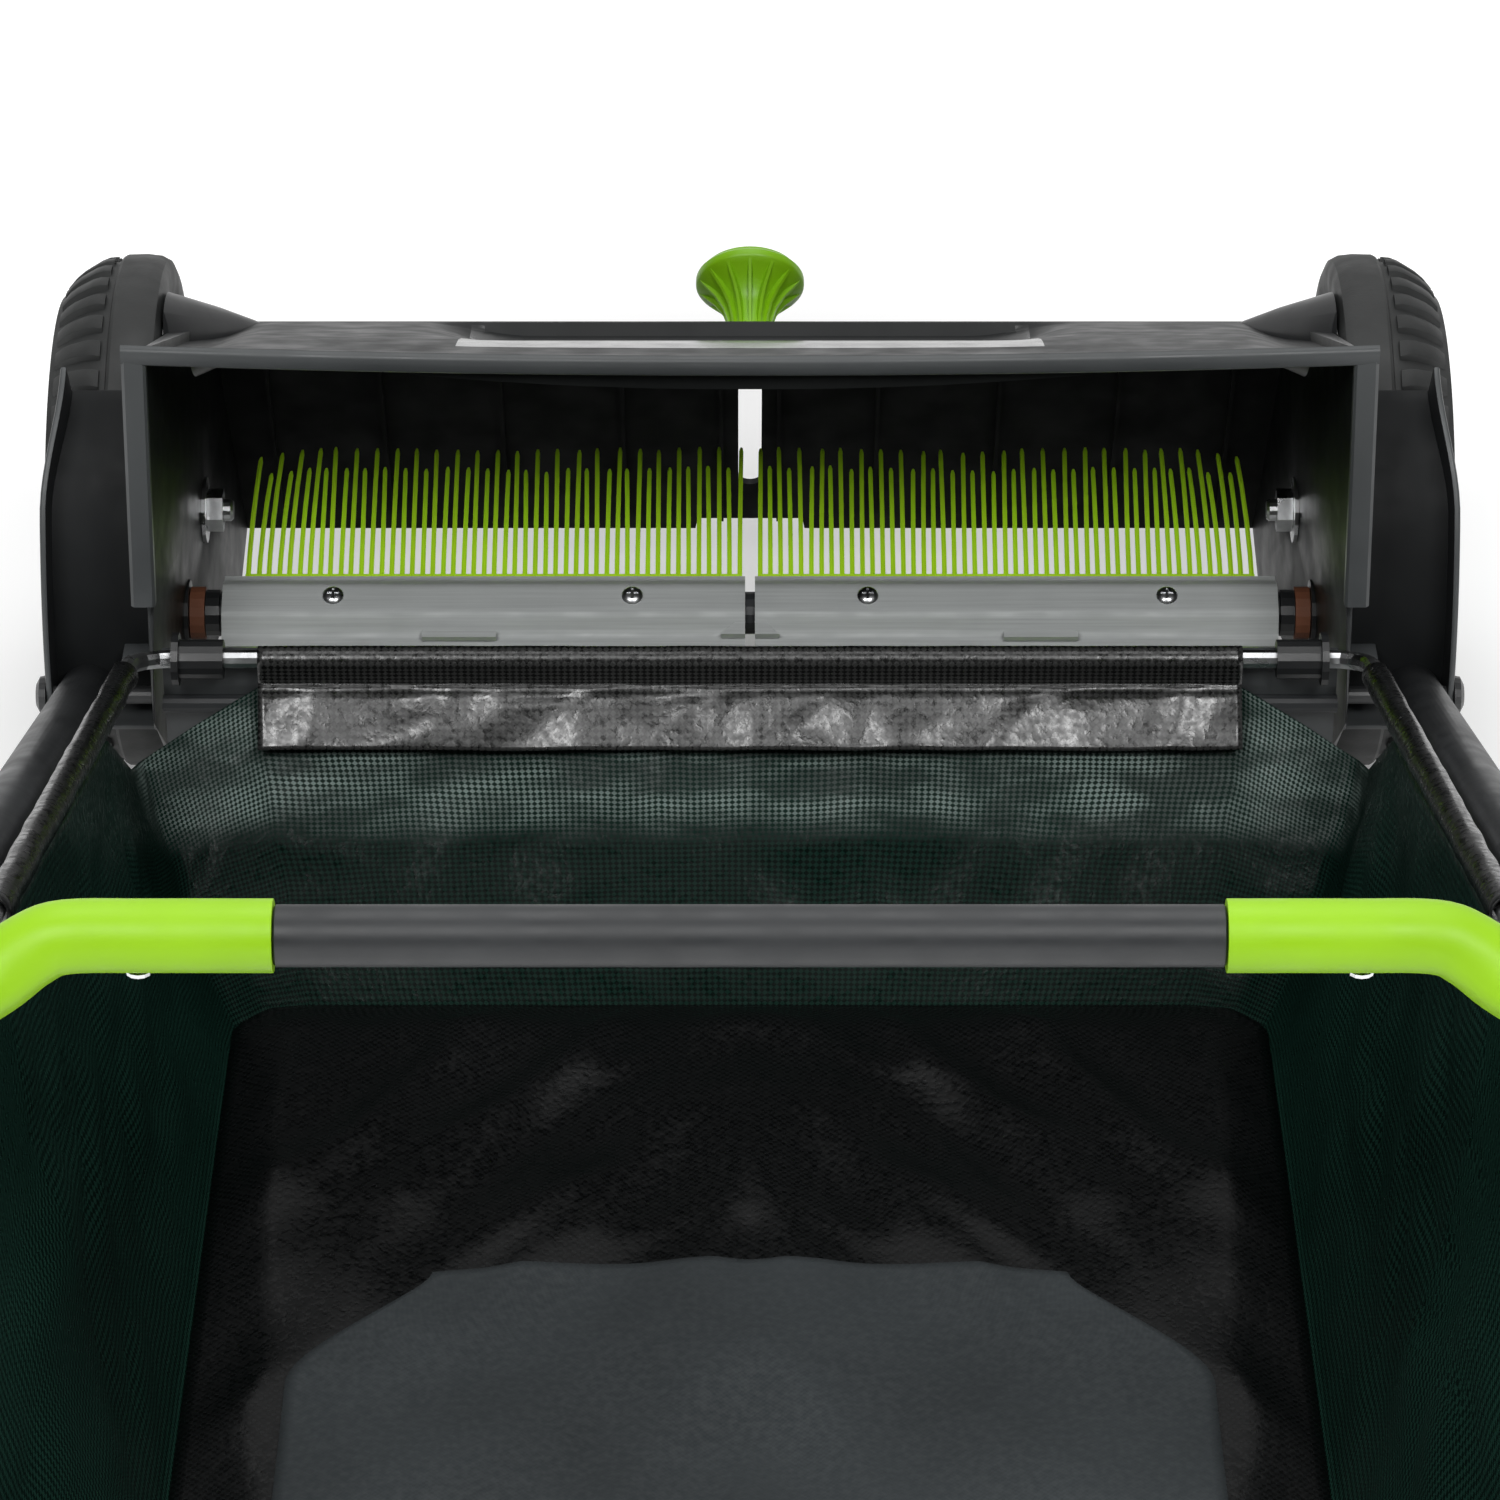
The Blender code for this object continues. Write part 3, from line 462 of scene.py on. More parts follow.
# painted contact shadow: the floor's glow is turned down around a spot near the hood's front edge, from 0.06 close
# in to full white far out
floorPlace = addNode(
    floorTree, "VectorMath", {0: objectCoords(floorTree), 1: studio["fadeFrom"]}, operation="DISTANCE")
floorReach = rangeOf(floorTree, floorPlace.outputs["Value"], 0, 1, (0, studio["fadeReach"]))
(nearStop, nearGlow), *middleStops, (farStop, farGlow) = studio["fade"]
floorShadowFade = rampOf(floorTree, floorReach, nearStop, farStop, [nearGlow] * 3, [farGlow] * 3)
for stop, glow in middleStops:
    floorShadowFade.node.color_ramp.elements.new(stop).color = (glow, glow, glow, 1)
floorGlow = addNode(floorTree, "Emission", {"Color": floorShadowFade, "Strength": 1.0})
floorSum = addNode(floorTree, "AddShader", {0: floorShader.outputs["BSDF"], 1: floorGlow.outputs["Emission"]})
floorMix = addNode(floorTree, "MixShader", {
    "Fac": whiteFor(floorTree), 1: floorShader.outputs["BSDF"], 2: floorSum.outputs["Shader"]})
setSockets(floorTree, floorTree.nodes["Material Output"], {"Surface": floorMix.outputs["Shader"]})
floor.data.materials.append(floorFinish)
print("camera, lamps and floor")


# hood: a moulded shell with a sunk middle, side cheeks, rim band and shoulders

hood = {
    "half": 0.2575, "wall": 0.003, "rimTop": (-0.140, 0.2657), "rimFoot": (-0.150, 0.1475),
    "crest": (0.045, 0.1900), "frontFoot": (0.125, 0.0454), "crestRound": 0.012, "columns": 86,
    "stops": [
        0, 0.006, 0.015, 0.027, 0.040, 0.050, 0.065, 0.080, 0.090, 0.100, 0.115, 0.130, 0.143, 0.152,
        0.1563, 0.160, 0.168, 0.1755, 0.1765, 0.1780, 0.1795, 0.1815, 0.186, 0.191, 0.196, 0.201, 0.206, 0.212],
    "recessHalf": (0.098, 0.150),
    "recess": [
        (0, 0), (0.05, 0.001), (0.08, 0.004), (0.10, 0.0065), (0.13, 0.0105), (0.1563, 0.0150),
        (0.1765, 0.0066), (0.1815, 0), (1, 0)],
    "polishHalf": 0.128, "polish": (0.02, 0.166),
    "hip": (0.214, 0.240), "hipStart": (0.0, 0.03), "hipEnd": (0.150, 0.190), "hipDrop": 0.0060,
    "slotHalf": 0.0055, "slotTop": 0.016, "slotLength": 0.112, "slotCut": 0.015,
    "notchHalf": 0.027, "notchRise": 0.006, "notchCut": 0.03,
    "rimBow": 0.015, "rimFade": 0.055, "rimSwell": 0.14,
}
rim = {
    "edge": 0.009, "lip": 0.004, "band": 0.0085, "depth": 0.0078, "proud": 0.0004, "steps": 28,
    "sideLine": [(-0.1425, 0.235), (-0.1462, 0.192)], "sideDrop": 0.006,
}
rimSpot, crestSpot, footSpot = (Vector(hood[k]) for k in ("rimTop", "crest", "frontFoot"))
roofLength = (crestSpot - rimSpot).length
frontLength = (footSpot - crestSpot).length
roofRun = (crestSpot - rimSpot).normalized()
frontRun = (footSpot - crestSpot).normalized()
frontOut = Vector((-frontRun.y, frontRun.x))


def hoodSpot(along):
    # y and z on the outside of the hood, from the rim over the crest to the front foot
    past = along - roofLength
    reach = hood["crestRound"]
    if past < -reach:
        return rimSpot + roofRun * along
    if past > reach:
        return crestSpot + frontRun * past
    t = (past + reach) / (2 * reach)
    before, after = crestSpot - roofRun * reach, crestSpot + frontRun * reach
    return before * (1 - t) ** 2 + crestSpot * 2 * t * (1 - t) + after * t * t


def roofSink(x, along):
    across = 1 - easeBetween(*hood["recessHalf"], abs(x))
    (a, low), (b, high) = next(pair for pair in zip(hood["recess"], hood["recess"][1:]) if along <= pair[1][0])
    depth = low + (high - low) * (along - a) / (b - a)
    hip = easeBetween(*hood["hip"], abs(x)) * easeBetween(*hood["hipStart"], along)
    hip *= 1 - easeBetween(*hood["hipEnd"], along)
    return depth * across + hood["hipDrop"] * hip


def rimBowAt(x):
    share = x / (hood["half"] + rim["edge"])
    return hood["rimBow"] * (1 - share * share)


lastStop = hood["stops"][-1]
alongStops = hood["stops"] + [lastStop + (roofLength + frontLength - lastStop) * k / 8 for k in range(1, 9)]
bpy.ops.object.select_all(action="DESELECT")
bpy.ops.mesh.primitive_grid_add(x_subdivisions=hood["columns"], y_subdivisions=len(alongStops) - 1, size=1)
hoodShell = bpy.context.object
hoodShell.name = "hoodShell"
for vert in hoodShell.data.vertices:
    x = 2 * vert.co.x * hood["half"]
    along = alongStops[round((vert.co.y + 0.5) * (len(alongStops) - 1))]
    spot = hoodSpot(along)
    bow = rimBowAt(x) * (1 - easeBetween(0.0, hood["rimFade"], along))
    vert.co = (x, spot.x + axleY - bow, spot.y + hood["rimSwell"] * bow - roofSink(x, along))
cleanShell(hoodShell)
if hoodShell.data.polygons[0].normal.z < 0:
    hoodShell.data.flip_normals()
applyModifier(hoodShell, "SOLIDIFY", thickness=hood["wall"], offset=-1)


def frontFrame(drop):
    # local x across, local y down the front wall, local z out of it
    spot = crestSpot + frontRun * drop
    turn = Matrix(((1, 0, 0), (0, frontRun.x, frontOut.x), (0, frontRun.y, frontOut.y))).to_4x4()
    return Matrix.Translation((0, spot.x + axleY, spot.y)) @ turn


slotHalf, slotCut, notchCut = hood["slotHalf"], hood["slotCut"], hood["notchCut"]
slotRing = []
for k in range(24):
    turn = math.tau * k / 24
    end = hood["slotLength"] - slotHalf if math.sin(turn) > 0 else slotHalf
    slotRing.append((slotHalf * math.cos(turn), end + slotHalf * math.sin(turn)))
slotTool = loftSections("slotTool", [[(x, y, z) for x, y in slotRing] for z in (-slotCut, slotCut)])
slotTool.data.transform(frontFrame(hood["slotTop"]))
cutWith(hoodShell, slotTool)
notchRing = [(-1.12, -notchCut), (1.12, -notchCut), (0.92, hood["notchRise"]), (-0.92, hood["notchRise"])]
notchTool = loftSections("notchTool", [
    [(x * hood["notchHalf"], footSpot.x + axleY + dy, footSpot.y + z) for x, z in notchRing]
    for dy in (-notchCut, notchCut)])
cutWith(hoodShell, notchTool)

# cheeks: the inner face leans in towards the front, the outer face is flat
cheek = {
    "rear": 0.2562, "front": 0.2394, "below": 0.0015, "skirt": [(-0.168, 0.098), (-0.120, 0.055), (0.100, 0.030)],
    "stops": [0.004, 0.05, 0.10, 0.15, 0.188, 0.194, 0.2, 0.206, 0.212, 0.26, roofLength + frontLength - 0.002],
    "drills": [((0, axleZ), 0.0084), (brushAxis, 0.0127)], "drillX": (0.22, 0.28), "axisGap": 0.0001,
}
cheekLine = [hoodSpot(along) - Vector((0, cheek["below"])) for along in cheek["stops"]]
cheekLine += [Vector(p) for p in reversed(cheek["skirt"])] + [Vector(hood["rimFoot"])]


def cheekInner(y):
    share = (y - hood["rimTop"][0]) / (hood["frontFoot"][0] - hood["rimTop"][0])
    return cheek["rear"] + (cheek["front"] - cheek["rear"]) * share


rightCheek = loftSections("rightCheek", [
    [(hood["half"], p.x + axleY, p.y) for p in cheekLine],
    [(cheekInner(p.x), p.x + axleY, p.y) for p in cheekLine]])
drillIn, drillOut = cheek["drillX"]
for (drillY, drillZ), radius in cheek["drills"]:
    drillLine = [(drillIn, cheek["axisGap"]), (drillIn, radius), (drillOut, radius), (drillOut, cheek["axisGap"])]
    cutWith(rightCheek, spinProfile("drill", drillLine, 28, (axleY + drillY, drillZ)))
softenEdges(rightCheek, 0.0012, 2, 50)
for piece in dressPair(rightCheek, blackPlastic, "hood", None, 35):
    # the cheeks' inner faces take the darker plastic, as painted shade
    piece.data.materials.append(cheekShadePlastic)
    for face in piece.data.polygons:
        if abs(face.normal.x) > 0.8 and face.normal.x * face.center.x < 0:
            face.material_index = 1  # inner face

# rim band round the mouth: a bowed top lip and two straight side lips
rimSections = []
for share in shares(rim["steps"]):
    x = (2 * share - 1) * (hood["half"] + rim["edge"])
    bow = rimBowAt(x)
    back, top = rimSpot.x - bow - rim["lip"], rimSpot.y + hood["rimSwell"] * bow + rim["proud"]
    front, low = back + rim["depth"], top - rim["band"]
    section = [
        (front, top - 0.0028), (back + 0.0030, top), (back + 0.0014, top - 0.0003), (back + 0.0004, top - 0.0012),
        (back, top - 0.0026), (back, low + 0.0020), (back + 0.0004, low + 0.0008), (back + 0.0015, low),
        (front, low), (front + 0.0004, low + 0.0030),
    ]
    rimSections.append([(x, y + axleY, z) for y, z in section])
rimBand = loftSections("rimBand", rimSections)

innerX, outerX = cheek["rear"] - 0.0002, hood["half"] + rim["edge"]
lipRing = [
    (innerX, 0.0022), (innerX, -0.0030), (innerX + 0.0012, -0.0042),
    (outerX - 0.0014, -0.0042), (outerX, -0.0028), (outerX, 0.0022),
]
lipLine = [(rimSpot.x, rimSpot.y - rim["sideDrop"]), *rim["sideLine"], hood["rimFoot"]]
rightSideLip = loftSections("rightSideLip", [[(x, y + dy + axleY, z) for x, dy in lipRing] for y, z in lipLine])
dress(rimBand, rimPlastic, "hood", degrees=35)
dressPair(rightSideLip, rimPlastic, "hood", None, 35)

# curved stiffener under the rim, and upright ribs on the inside of the front wall
stiffener = {
    "half": 0.165, "ends": 0.0020, "middle": 0.0065, "bow": 0.62, "ahead": 0.004, "below": 0.0070, "thick": 0.0022,
}
stiffSections = []
for side in [2 * share - 1 for share in shares(24)]:
    bow = hood["rimBow"] * (1 - (side * stiffener["bow"]) ** 2)
    y = rimSpot.x - bow + stiffener["ahead"]
    top = rimSpot.y - stiffener["below"]
    low = top - (stiffener["ends"] + stiffener["middle"] * (1 - abs(side) ** 2.2))
    stiffRing = [(0, top), (0, low), (stiffener["thick"], low), (stiffener["thick"], top)]
    stiffSections.append([(side * stiffener["half"], y + dy + axleY, z) for dy, z in stiffRing])
rimStiffener = loftSections("rimStiffener", stiffSections)

rib = {"x": (0.0134, 0.059, 0.115, 0.170, 0.222), "half": 0.0009, "root": -0.0025, "edge": -0.0072}
ribRing = [(side * rib["half"], rib[k]) for side, k in ((-1, "root"), (1, "root"), (1, "edge"), (-1, "edge"))]
ribDrops = (0.014, 0.060, 0.110, frontLength - 0.012)
ribs = []
for x in rib["x"]:
    for sign in (-1, 1):
        oneRib = loftSections("frontRib", [[(sign * x + dx, y, z) for dx, z in ribRing] for y in ribDrops])
        oneRib.data.transform(frontFrame(0))
        ribs.append(oneRib)
frontRibs = joinPieces("frontRibs", ribs)
# the stiffener and ribs inside the hood take the darker plastic, as painted shade
for piece in (rimStiffener, frontRibs):
    dress(piece, innerShadePlastic, "hood", degrees=35)

# shoulders: tapered bosses from the axle side of the roof down to the crest
shoulder = {
    "path": [
        (0.2740, -0.016, 0.2085), (0.2570, -0.002, 0.2030), (0.2400, 0.012, 0.1975),
        (0.2250, 0.026, 0.1915), (0.2130, 0.034, 0.1875)],
    "radii": [0.0265, 0.0200, 0.0135, 0.0070, 0.0020], "cutX": 0.2594,
}
shoulderRings = sweptRings([Vector(p) + axleShift for p in shoulder["path"]], shoulder["radii"], 32)
rightShoulder = loftSections("rightShoulder", shoulderRings)
editAll()
bpy.ops.mesh.bisect(plane_co=(shoulder["cutX"], 0, 0), plane_no=(1, 0, 0), use_fill=True, clear_outer=True)
bpy.ops.object.mode_set(mode="OBJECT")
softenEdges(rightShoulder, 0.0012, 2, 60)
dressPair(rightShoulder, blackPlastic, "hood", None, 35)

dress(hoodShell, roofPlastic, "hood", ["hood_shell"], 32)
hoodShell.data.materials.append(glossPlastic)
# the third slot is the darker plastic for the inside of the shell, as painted shade
hoodShell.data.materials.append(innerShadePlastic)
polishFrom, polishTo = hood["polish"]
for face in hoodShell.data.polygons:
    pastRim = face.center.y - axleY - hood["rimTop"][0]
    if abs(face.center.x) < hood["polishHalf"] and polishFrom < pastRim < polishTo and face.normal.z > 0.90:
        face.material_index = 1  # polished floor of the sunk middle
    elif face.normal.z < -0.3:
        face.material_index = 2  # inside of the shell
print("hood")


# brush: single bristles in two alternating rows, front and back

brush = {
    "lift": 27.8, "root": 0.0130, "tip": 0.0905, "shortBy": 0.0085, "rowRise": 0.0012, "tipRise": 0.0010,
    "rowDrop": 0.0020, "from": 0.0046, "to": 0.2253, "count": 49, "width": 0.0025, "taper": 0.10, "tipTaper": 0.45,
    "strip": [
        (0.0128, -0.0022), (0.0196, -0.0022), (0.0204, -0.0012),
        (0.0204, 0.0012), (0.0196, 0.0022), (0.0128, 0.0022)],
}
liftCos, liftSin = math.cos(math.radians(brush["lift"])), math.sin(math.radians(brush["lift"]))


def brushSpot(out, up, turn=1):
    # y and z of a spot out along the lifted rows and up from them; turn is -1 for the rear row
    y = brushAxis[0] + turn * (out * liftCos - up * liftSin)
    return y + axleY, brushAxis[1] + turn * (out * liftSin + up * liftCos)


bpy.ops.object.select_all(action="DESELECT")
bpy.ops.mesh.primitive_cylinder_add(vertices=6, radius=brush["width"] / 2, depth=1, end_fill_type="NGON")
oneBristle = bpy.context.object
bpy.ops.object.mode_set(mode="EDIT")
for cut in (-0.25, 0.0, 0.25, 0.47):
    bpy.ops.mesh.select_all(action="SELECT")
    bpy.ops.mesh.bisect(plane_co=(0, 0, cut), plane_no=(0, 0, 1))
bpy.ops.object.mode_set(mode="OBJECT")
for vert in oneBristle.data.vertices:
    share = vert.co.z + 0.5
    slim = 1.0 - brush["taper"] * share - (brush["tipTaper"] if share > 0.99 else 0)
    vert.co = (vert.co.x * slim, vert.co.y * slim, share)


def bristleRow(name, side, turn):
    copies = []
    for k in range(brush["count"]):
        share = k / (brush["count"] - 1)
        x = brush["from"] + (brush["to"] - brush["from"]) * share
        upper = k % 2 == 0
        wave = 0.0016 * math.sin(share * 9.5 + 0.6) - 0.0035 * max(0, share - 0.86) / 0.14
        reach = brush["tip"] - (0 if upper else brush["shortBy"]) - 0.0018 * random.random() + min(0, wave)
        rise = brush["rowRise"] if upper else -brush["rowRise"]
        tipRise = (brush["tipRise"] if upper else -brush["rowDrop"]) + random.uniform(-0.0006, 0.0006)
        lean = random.uniform(-0.0008, 0.0008) - 0.0035 * easeBetween(0.75, 1.0, share)
        bristle = oneBristle.data.copy()
        for vert in bristle.vertices:
            t = vert.co.z
            out = brush["root"] + (reach - brush["root"]) * t
            up = rise + (tipRise - rise) * t + vert.co.y
            vert.co = (side * (x + lean * t * t + vert.co.x), *brushSpot(out, up, turn))
        copy = bpy.data.objects.new("bristle", bristle)
        bpy.context.collection.objects.link(copy)
        copies.append(copy)
    row = joinPieces(name, copies)
    cleanShell(row)
    return row


for side, word in ((1, "right"), (-1, "left")):
    for turn, place in ((1, "front"), (-1, "rear")):
        row = bristleRow(word + place.title() + "Bristles", side, turn)
        # the moulded strip that holds the row, shown between the plates
        stripEnds = sorted((side * (brush["from"] - 0.001), side * (brush["to"] + 0.0012)))
        stripRing = [brushSpot(out, up, turn) for out, up in brush["strip"]]
        strip = loftSections("strip", [[(x, y, z) for y, z in stripRing] for x in stripEnds])
        row = joinPieces(row.name, [row, strip])
        dress(row, limeBristle, "brush", [word + "_" + place + "_bristles"], 50)
bpy.data.objects.remove(oneBristle, do_unlink=True)

# folded clamp plates over the shaft, with small end tabs and a stop tab below the fold
plate = {
    "from": 0.0022, "to": 0.2355, "front": 0.0172, "rear": 0.0205, "low": 0.0028, "crown": 0.0101, "thick": 0.0012,
    "fold": (0.0062, 0.0165), "tabFront": 0.0060, "tabRear": 0.0062,
    "tabs": [  # low and high x, rear, front, lift, and how far the front end is cut back
        (0.1130, 0.1460, -0.0185, -0.0152, 0.0030, 0.0), (0.0022, 0.0130, -0.0170, -0.0085, 0.0032, 0.0085)],
    "screws": (0.0525, 0.1860), "screwOut": 0.0015,
    "screwLine": [(0, 0.0001), (0, 0.0047), (0.0006, 0.0047), (0.0014, 0.0040), (0.0021, 0.0026), (0.0023, 0.0001)],
    "crossLong": 0.0027, "crossShort": 0.0006, "crossDepth": (0.0015, 0.0040),
}
plateUnder = []
for share in shares(24):
    out = -plate["rear"] + (plate["front"] + plate["rear"]) * share
    fold = 1 - easeBetween(*plate["fold"], abs(out))
    plateUnder.append((out, plate["low"] + (plate["crown"] - plate["low"]) * fold))
plateRing = [brushSpot(out, up) for out, up in plateUnder]
plateRing += [brushSpot(out, up + plate["thick"]) for out, up in reversed(plateUnder)]
topUp = plate["crown"] + plate["thick"]
tabFrontUp, tabRearUp = topUp - plate["tabFront"], topUp - plate["tabRear"]
screwAim = Matrix(((0, 1, 0), (-liftSin, 0, liftCos), (liftCos, 0, liftSin))).to_4x4()
for side, word in ((1, "right"), (-1, "left")):
    plateEnds = (plate["from"], plate["to"])
    platePieces = [loftSections("plateBody", [[(side * x, y, z) for y, z in plateRing] for x in plateEnds])]
    for low, high, rear, front, lift, cutBack in plate["tabs"]:
        tabRing = [
            (low, front, tabFrontUp), (high - cutBack, front, tabFrontUp),
            (high, rear, tabRearUp), (low, rear, tabRearUp)]
        platePieces.append(loftSections("plateTab", [
            [(side * x, *brushSpot(out, up + rise)) for x, out, up in tabRing] for rise in (0, lift)]))
    upperPlate = joinPieces(word + "UpperPlate", platePieces)
    dress(upperPlate, greySteel, "brush", [word + "_upper_clamp_plate"], 40)
    for number, screwX in enumerate(plate["screws"], start=1):
        head = spinProfile(word + "PlateScrew" + str(number), plate["screwLine"], 20, (0, 0))
        crossEnds = (plate["crossLong"], plate["crossShort"])
        for across, upright in (crossEnds, crossEnds[::-1]):
            crossRing = [(-across, -upright), (across, -upright), (across, upright), (-across, upright)]
            cutWith(head, loftSections("crossCut", [
                [(x, y, z) for y, z in crossRing] for x in plate["crossDepth"]]))
        head.data.transform(Matrix.Translation((side * screwX, *brushSpot(plate["screwOut"], topUp))) @ screwAim)
        dress(head, zincSteel, "brush", [word + "_plate_screw_" + str(number)], 35)
print("brush")

# rear pan: a plain plate behind the brush, up to the bag rod
pan = {
    "half": 0.2538, "line": [(-0.1568, 0.1292), (-0.1568, 0.1120), (-0.1532, 0.0990), (-0.1475, 0.0450)],
    "thick": 0.0011,
}
panRing = [(y + axleY, z) for y, z in pan["line"]]
panRing += [(y + axleY - pan["thick"], z) for y, z in reversed(pan["line"])]
rearPan = loftSections("rearPan", [[(x, y, z) for y, z in panRing] for x in (-pan["half"], pan["half"])])
dress(rearPan, rimPlastic, "hood", ["rear_pan"], 30)
print("rear pan")


# wheels: treaded tyres, and spokes on the outer face of the rims

wheel = {
    "inX": 0.2605, "outX": 0.3100, "tread": 0.1160, "groove": 0.1128, "lugs": 44, "spokes": 10,
    "lugLift": 0.0034, "lugHalf": 0.31, "lugSkew": 0.30, "lugSteps": 6,
    "spokeLine": [  # radius, half width and outer x
        (0.0225, 0.0062, 0.3024), (0.034, 0.0050, 0.3008), (0.055, 0.0044, 0.3004),
        (0.0745, 0.0052, 0.3010), (0.0845, 0.0066, 0.3052)],
    "spokeDepth": 0.0045, "spokeRound": 0.0004, "spokeFlat": 0.72,
}
inX, outX = wheel["inX"], wheel["outX"]
innerLine = [
    (inX + 0.003, 0.0953), (inX + 0.0006, 0.0985), (inX, 0.103), (inX + 0.0004, 0.1095), (inX + 0.0022, 0.1135),
    (inX + 0.0056, 0.1153), (inX + 0.012, wheel["tread"]), (inX + 0.0205, 0.1158), (inX + 0.0218, 0.1150),
]
outerLine = [
    (inX + 0.0224, wheel["groove"]), (inX + 0.0250, 0.1126), (inX + 0.032, 0.1098), (inX + 0.039, 0.1056),
    (inX + 0.0445, 0.1012), (outX - 0.0022, 0.0985), (outX - 0.0004, 0.0970), (outX - 0.0010, 0.0959),
    (outX - 0.003, 0.0953),
]
tyre = spinProfile("rightTyre", innerLine + outerLine, 72, (axleY, axleZ))

# one lug over the outer half of the tread, then copies of it all round
pitchAngle = math.tau / wheel["lugs"]
lugHalf, lugSkew = pitchAngle * wheel["lugHalf"], pitchAngle * wheel["lugSkew"]
lugStart, lugEnd = inX + 0.0252, outX - 0.0030
lugSections = []
for share in shares(wheel["lugSteps"]):
    x = lugStart + (lugEnd - lugStart) * share
    base = next(
        r0 + (r1 - r0) * (x - x0) / (x1 - x0)
        for (x0, r0), (x1, r1) in zip(outerLine, outerLine[1:]) if x0 <= x <= x1 + 0.00001)
    top = min(wheel["tread"], base + wheel["lugLift"] * (1 - 0.35 * abs(2 * share - 1) ** 6))
    lugLine = [
        (-1.15, base - 0.001), (-0.85, top - 0.0004), (-0.7, top),
        (0.7, top), (0.85, top - 0.0004), (1.15, base - 0.001)]
    ring = []
    for turn, radius in lugLine:
        angle = lugSkew * share + turn * lugHalf
        ring.append((x, axleY + radius * math.sin(angle), axleZ + radius * math.cos(angle)))
    lugSections.append(ring)
outerLugs = spinCopies(loftSections("outerLugs", lugSections), wheel["lugs"], (axleY, axleZ))
rightTyre = joinPieces("rightTyre", [tyre, outerLugs])
dressPair(rightTyre, tyreRubber, "{}_wheel", "tyre", 30)

spokeSections = []
for radius, half, x in wheel["spokeLine"]:
    back, edge, flat = x - wheel["spokeDepth"], x - wheel["spokeRound"], half * wheel["spokeFlat"]
    spokeRing = [(back, -half), (edge, -half), (x, -flat), (x, flat), (edge, half), (back, half)]
    spokeSections.append([(spokeX, axleY + dy, axleZ + radius) for spokeX, dy in spokeRing])
rightSpokes = spinCopies(loftSections("rightSpokes", spokeSections), wheel["spokes"], (axleY, axleZ))
dressPair(rightSpokes, blackPlastic, "{}_wheel", None, 40)
print("wheels")


# knob: a ribbed trumpet under a shallow cap

knob = {
    "drop": 0.031, "ribs": 14, "ribFoot": 0.0010, "ribTop": 0.0007,
    "line": [
        (0.0045, 0.0115), (0.0060, 0.0112), (0.0120, 0.0095), (0.0200, 0.0088), (0.0270, 0.0098), (0.0320, 0.0125),
        (0.0365, 0.0172), (0.0395, 0.0222), (0.0410, 0.0243), (0.0420, 0.0250), (0.0446, 0.0250), (0.0458, 0.0240),
        (0.0462, 0.0228), (0.0480, 0.0222), (0.0494, 0.0180), (0.0502, 0.0110), (0.0505, 0.0004), (0.0170, 0.0004),
        (0.0170, 0.0045), (0.0045, 0.0045)],
    "ribLine": [  # x, radius and height
        (0.0130, 0.0088, 0.0008), (0.0200, 0.0084, 0.0022), (0.0270, 0.0093, 0.0034),
        (0.0330, 0.0130, 0.0036), (0.0375, 0.0184, 0.0026), (0.0405, 0.0225, 0.0012)],
}
knobBody = spinProfile("heightKnob", knob["line"], 56, (0, 0))
ribSections = []
for x, radius, tall in knob["ribLine"]:
    ribSections.append([
        (x, -knob["ribFoot"], radius), (x, -knob["ribTop"], radius + tall),
        (x, knob["ribTop"], radius + tall), (x, knob["ribFoot"], radius)])
knobRibs = spinCopies(loftSections("knobRibs", ribSections), knob["ribs"], (0, 0))
heightKnob = joinPieces("heightKnob", [knobBody, knobRibs])
# the spin axis x is turned on to the front wall's normal
spinToWall = Matrix(((0, 1, 0, 0), (0, 0, 1, 0), (1, 0, 0, 0), (0, 0, 0, 1)))
heightKnob.data.transform(frontFrame(knob["drop"]) @ spinToWall)
# the knob takes the darker lime, as painted shade
dress(heightKnob, shadedLimeKnob, "knob", ["knob"], 38)
print("knob")


# handle: moulded corner joints, grown out of the crossbar and turned down to the side tubes

joint = {
    "bar": (-0.800, 0.3690), "barEnd": 0.1543, "tubeX": 0.2895, "tubeEnd": (-0.745, 0.3107),
    "tubeFoot": (-0.139133, 0.096446), "tubeGap": 0.0003, "tubeRun": 0.030, "radius": 0.0142, "slimmer": 0.0021,
    "bends": [  # x, then y and z from the bar
        (0.2860, 0, -0.0360), (0.2760, -0.0209, -0.0250), (0.2600, -0.0165, -0.0160), (0.2450, -0.0075, -0.0110),
        (0.2330, -0.0022, -0.0040), (0.2215, -0.0002, -0.0003), (0.1950, 0, 0)],
    "crest": 0.085, "crestWidth": 0.30,
}
barY, barZ = joint["bar"]
tubeFoot, tubeTop = (Vector((joint["tubeX"], *joint[k])) for k in ("tubeFoot", "tubeEnd"))
tubeAim = (tubeTop - tubeFoot).normalized()
jointPath = [tubeTop + tubeAim * joint["tubeGap"], tubeTop + tubeAim * joint["tubeRun"]]
jointPath += [(x, barY + dy, barZ + dz) for x, dy, dz in joint["bends"]] + [(joint["barEnd"], barY, barZ)]
jointLine = [spot + axleShift for spot in smoothPath(jointPath, 5)]
jointShares = shares(len(jointLine) - 1)
jointRadii = [joint["radius"] - joint["slimmer"] * easeBetween(0.15, 0.86, share) for share in jointShares]
jointRings = sweptRings(jointLine, jointRadii, 28)
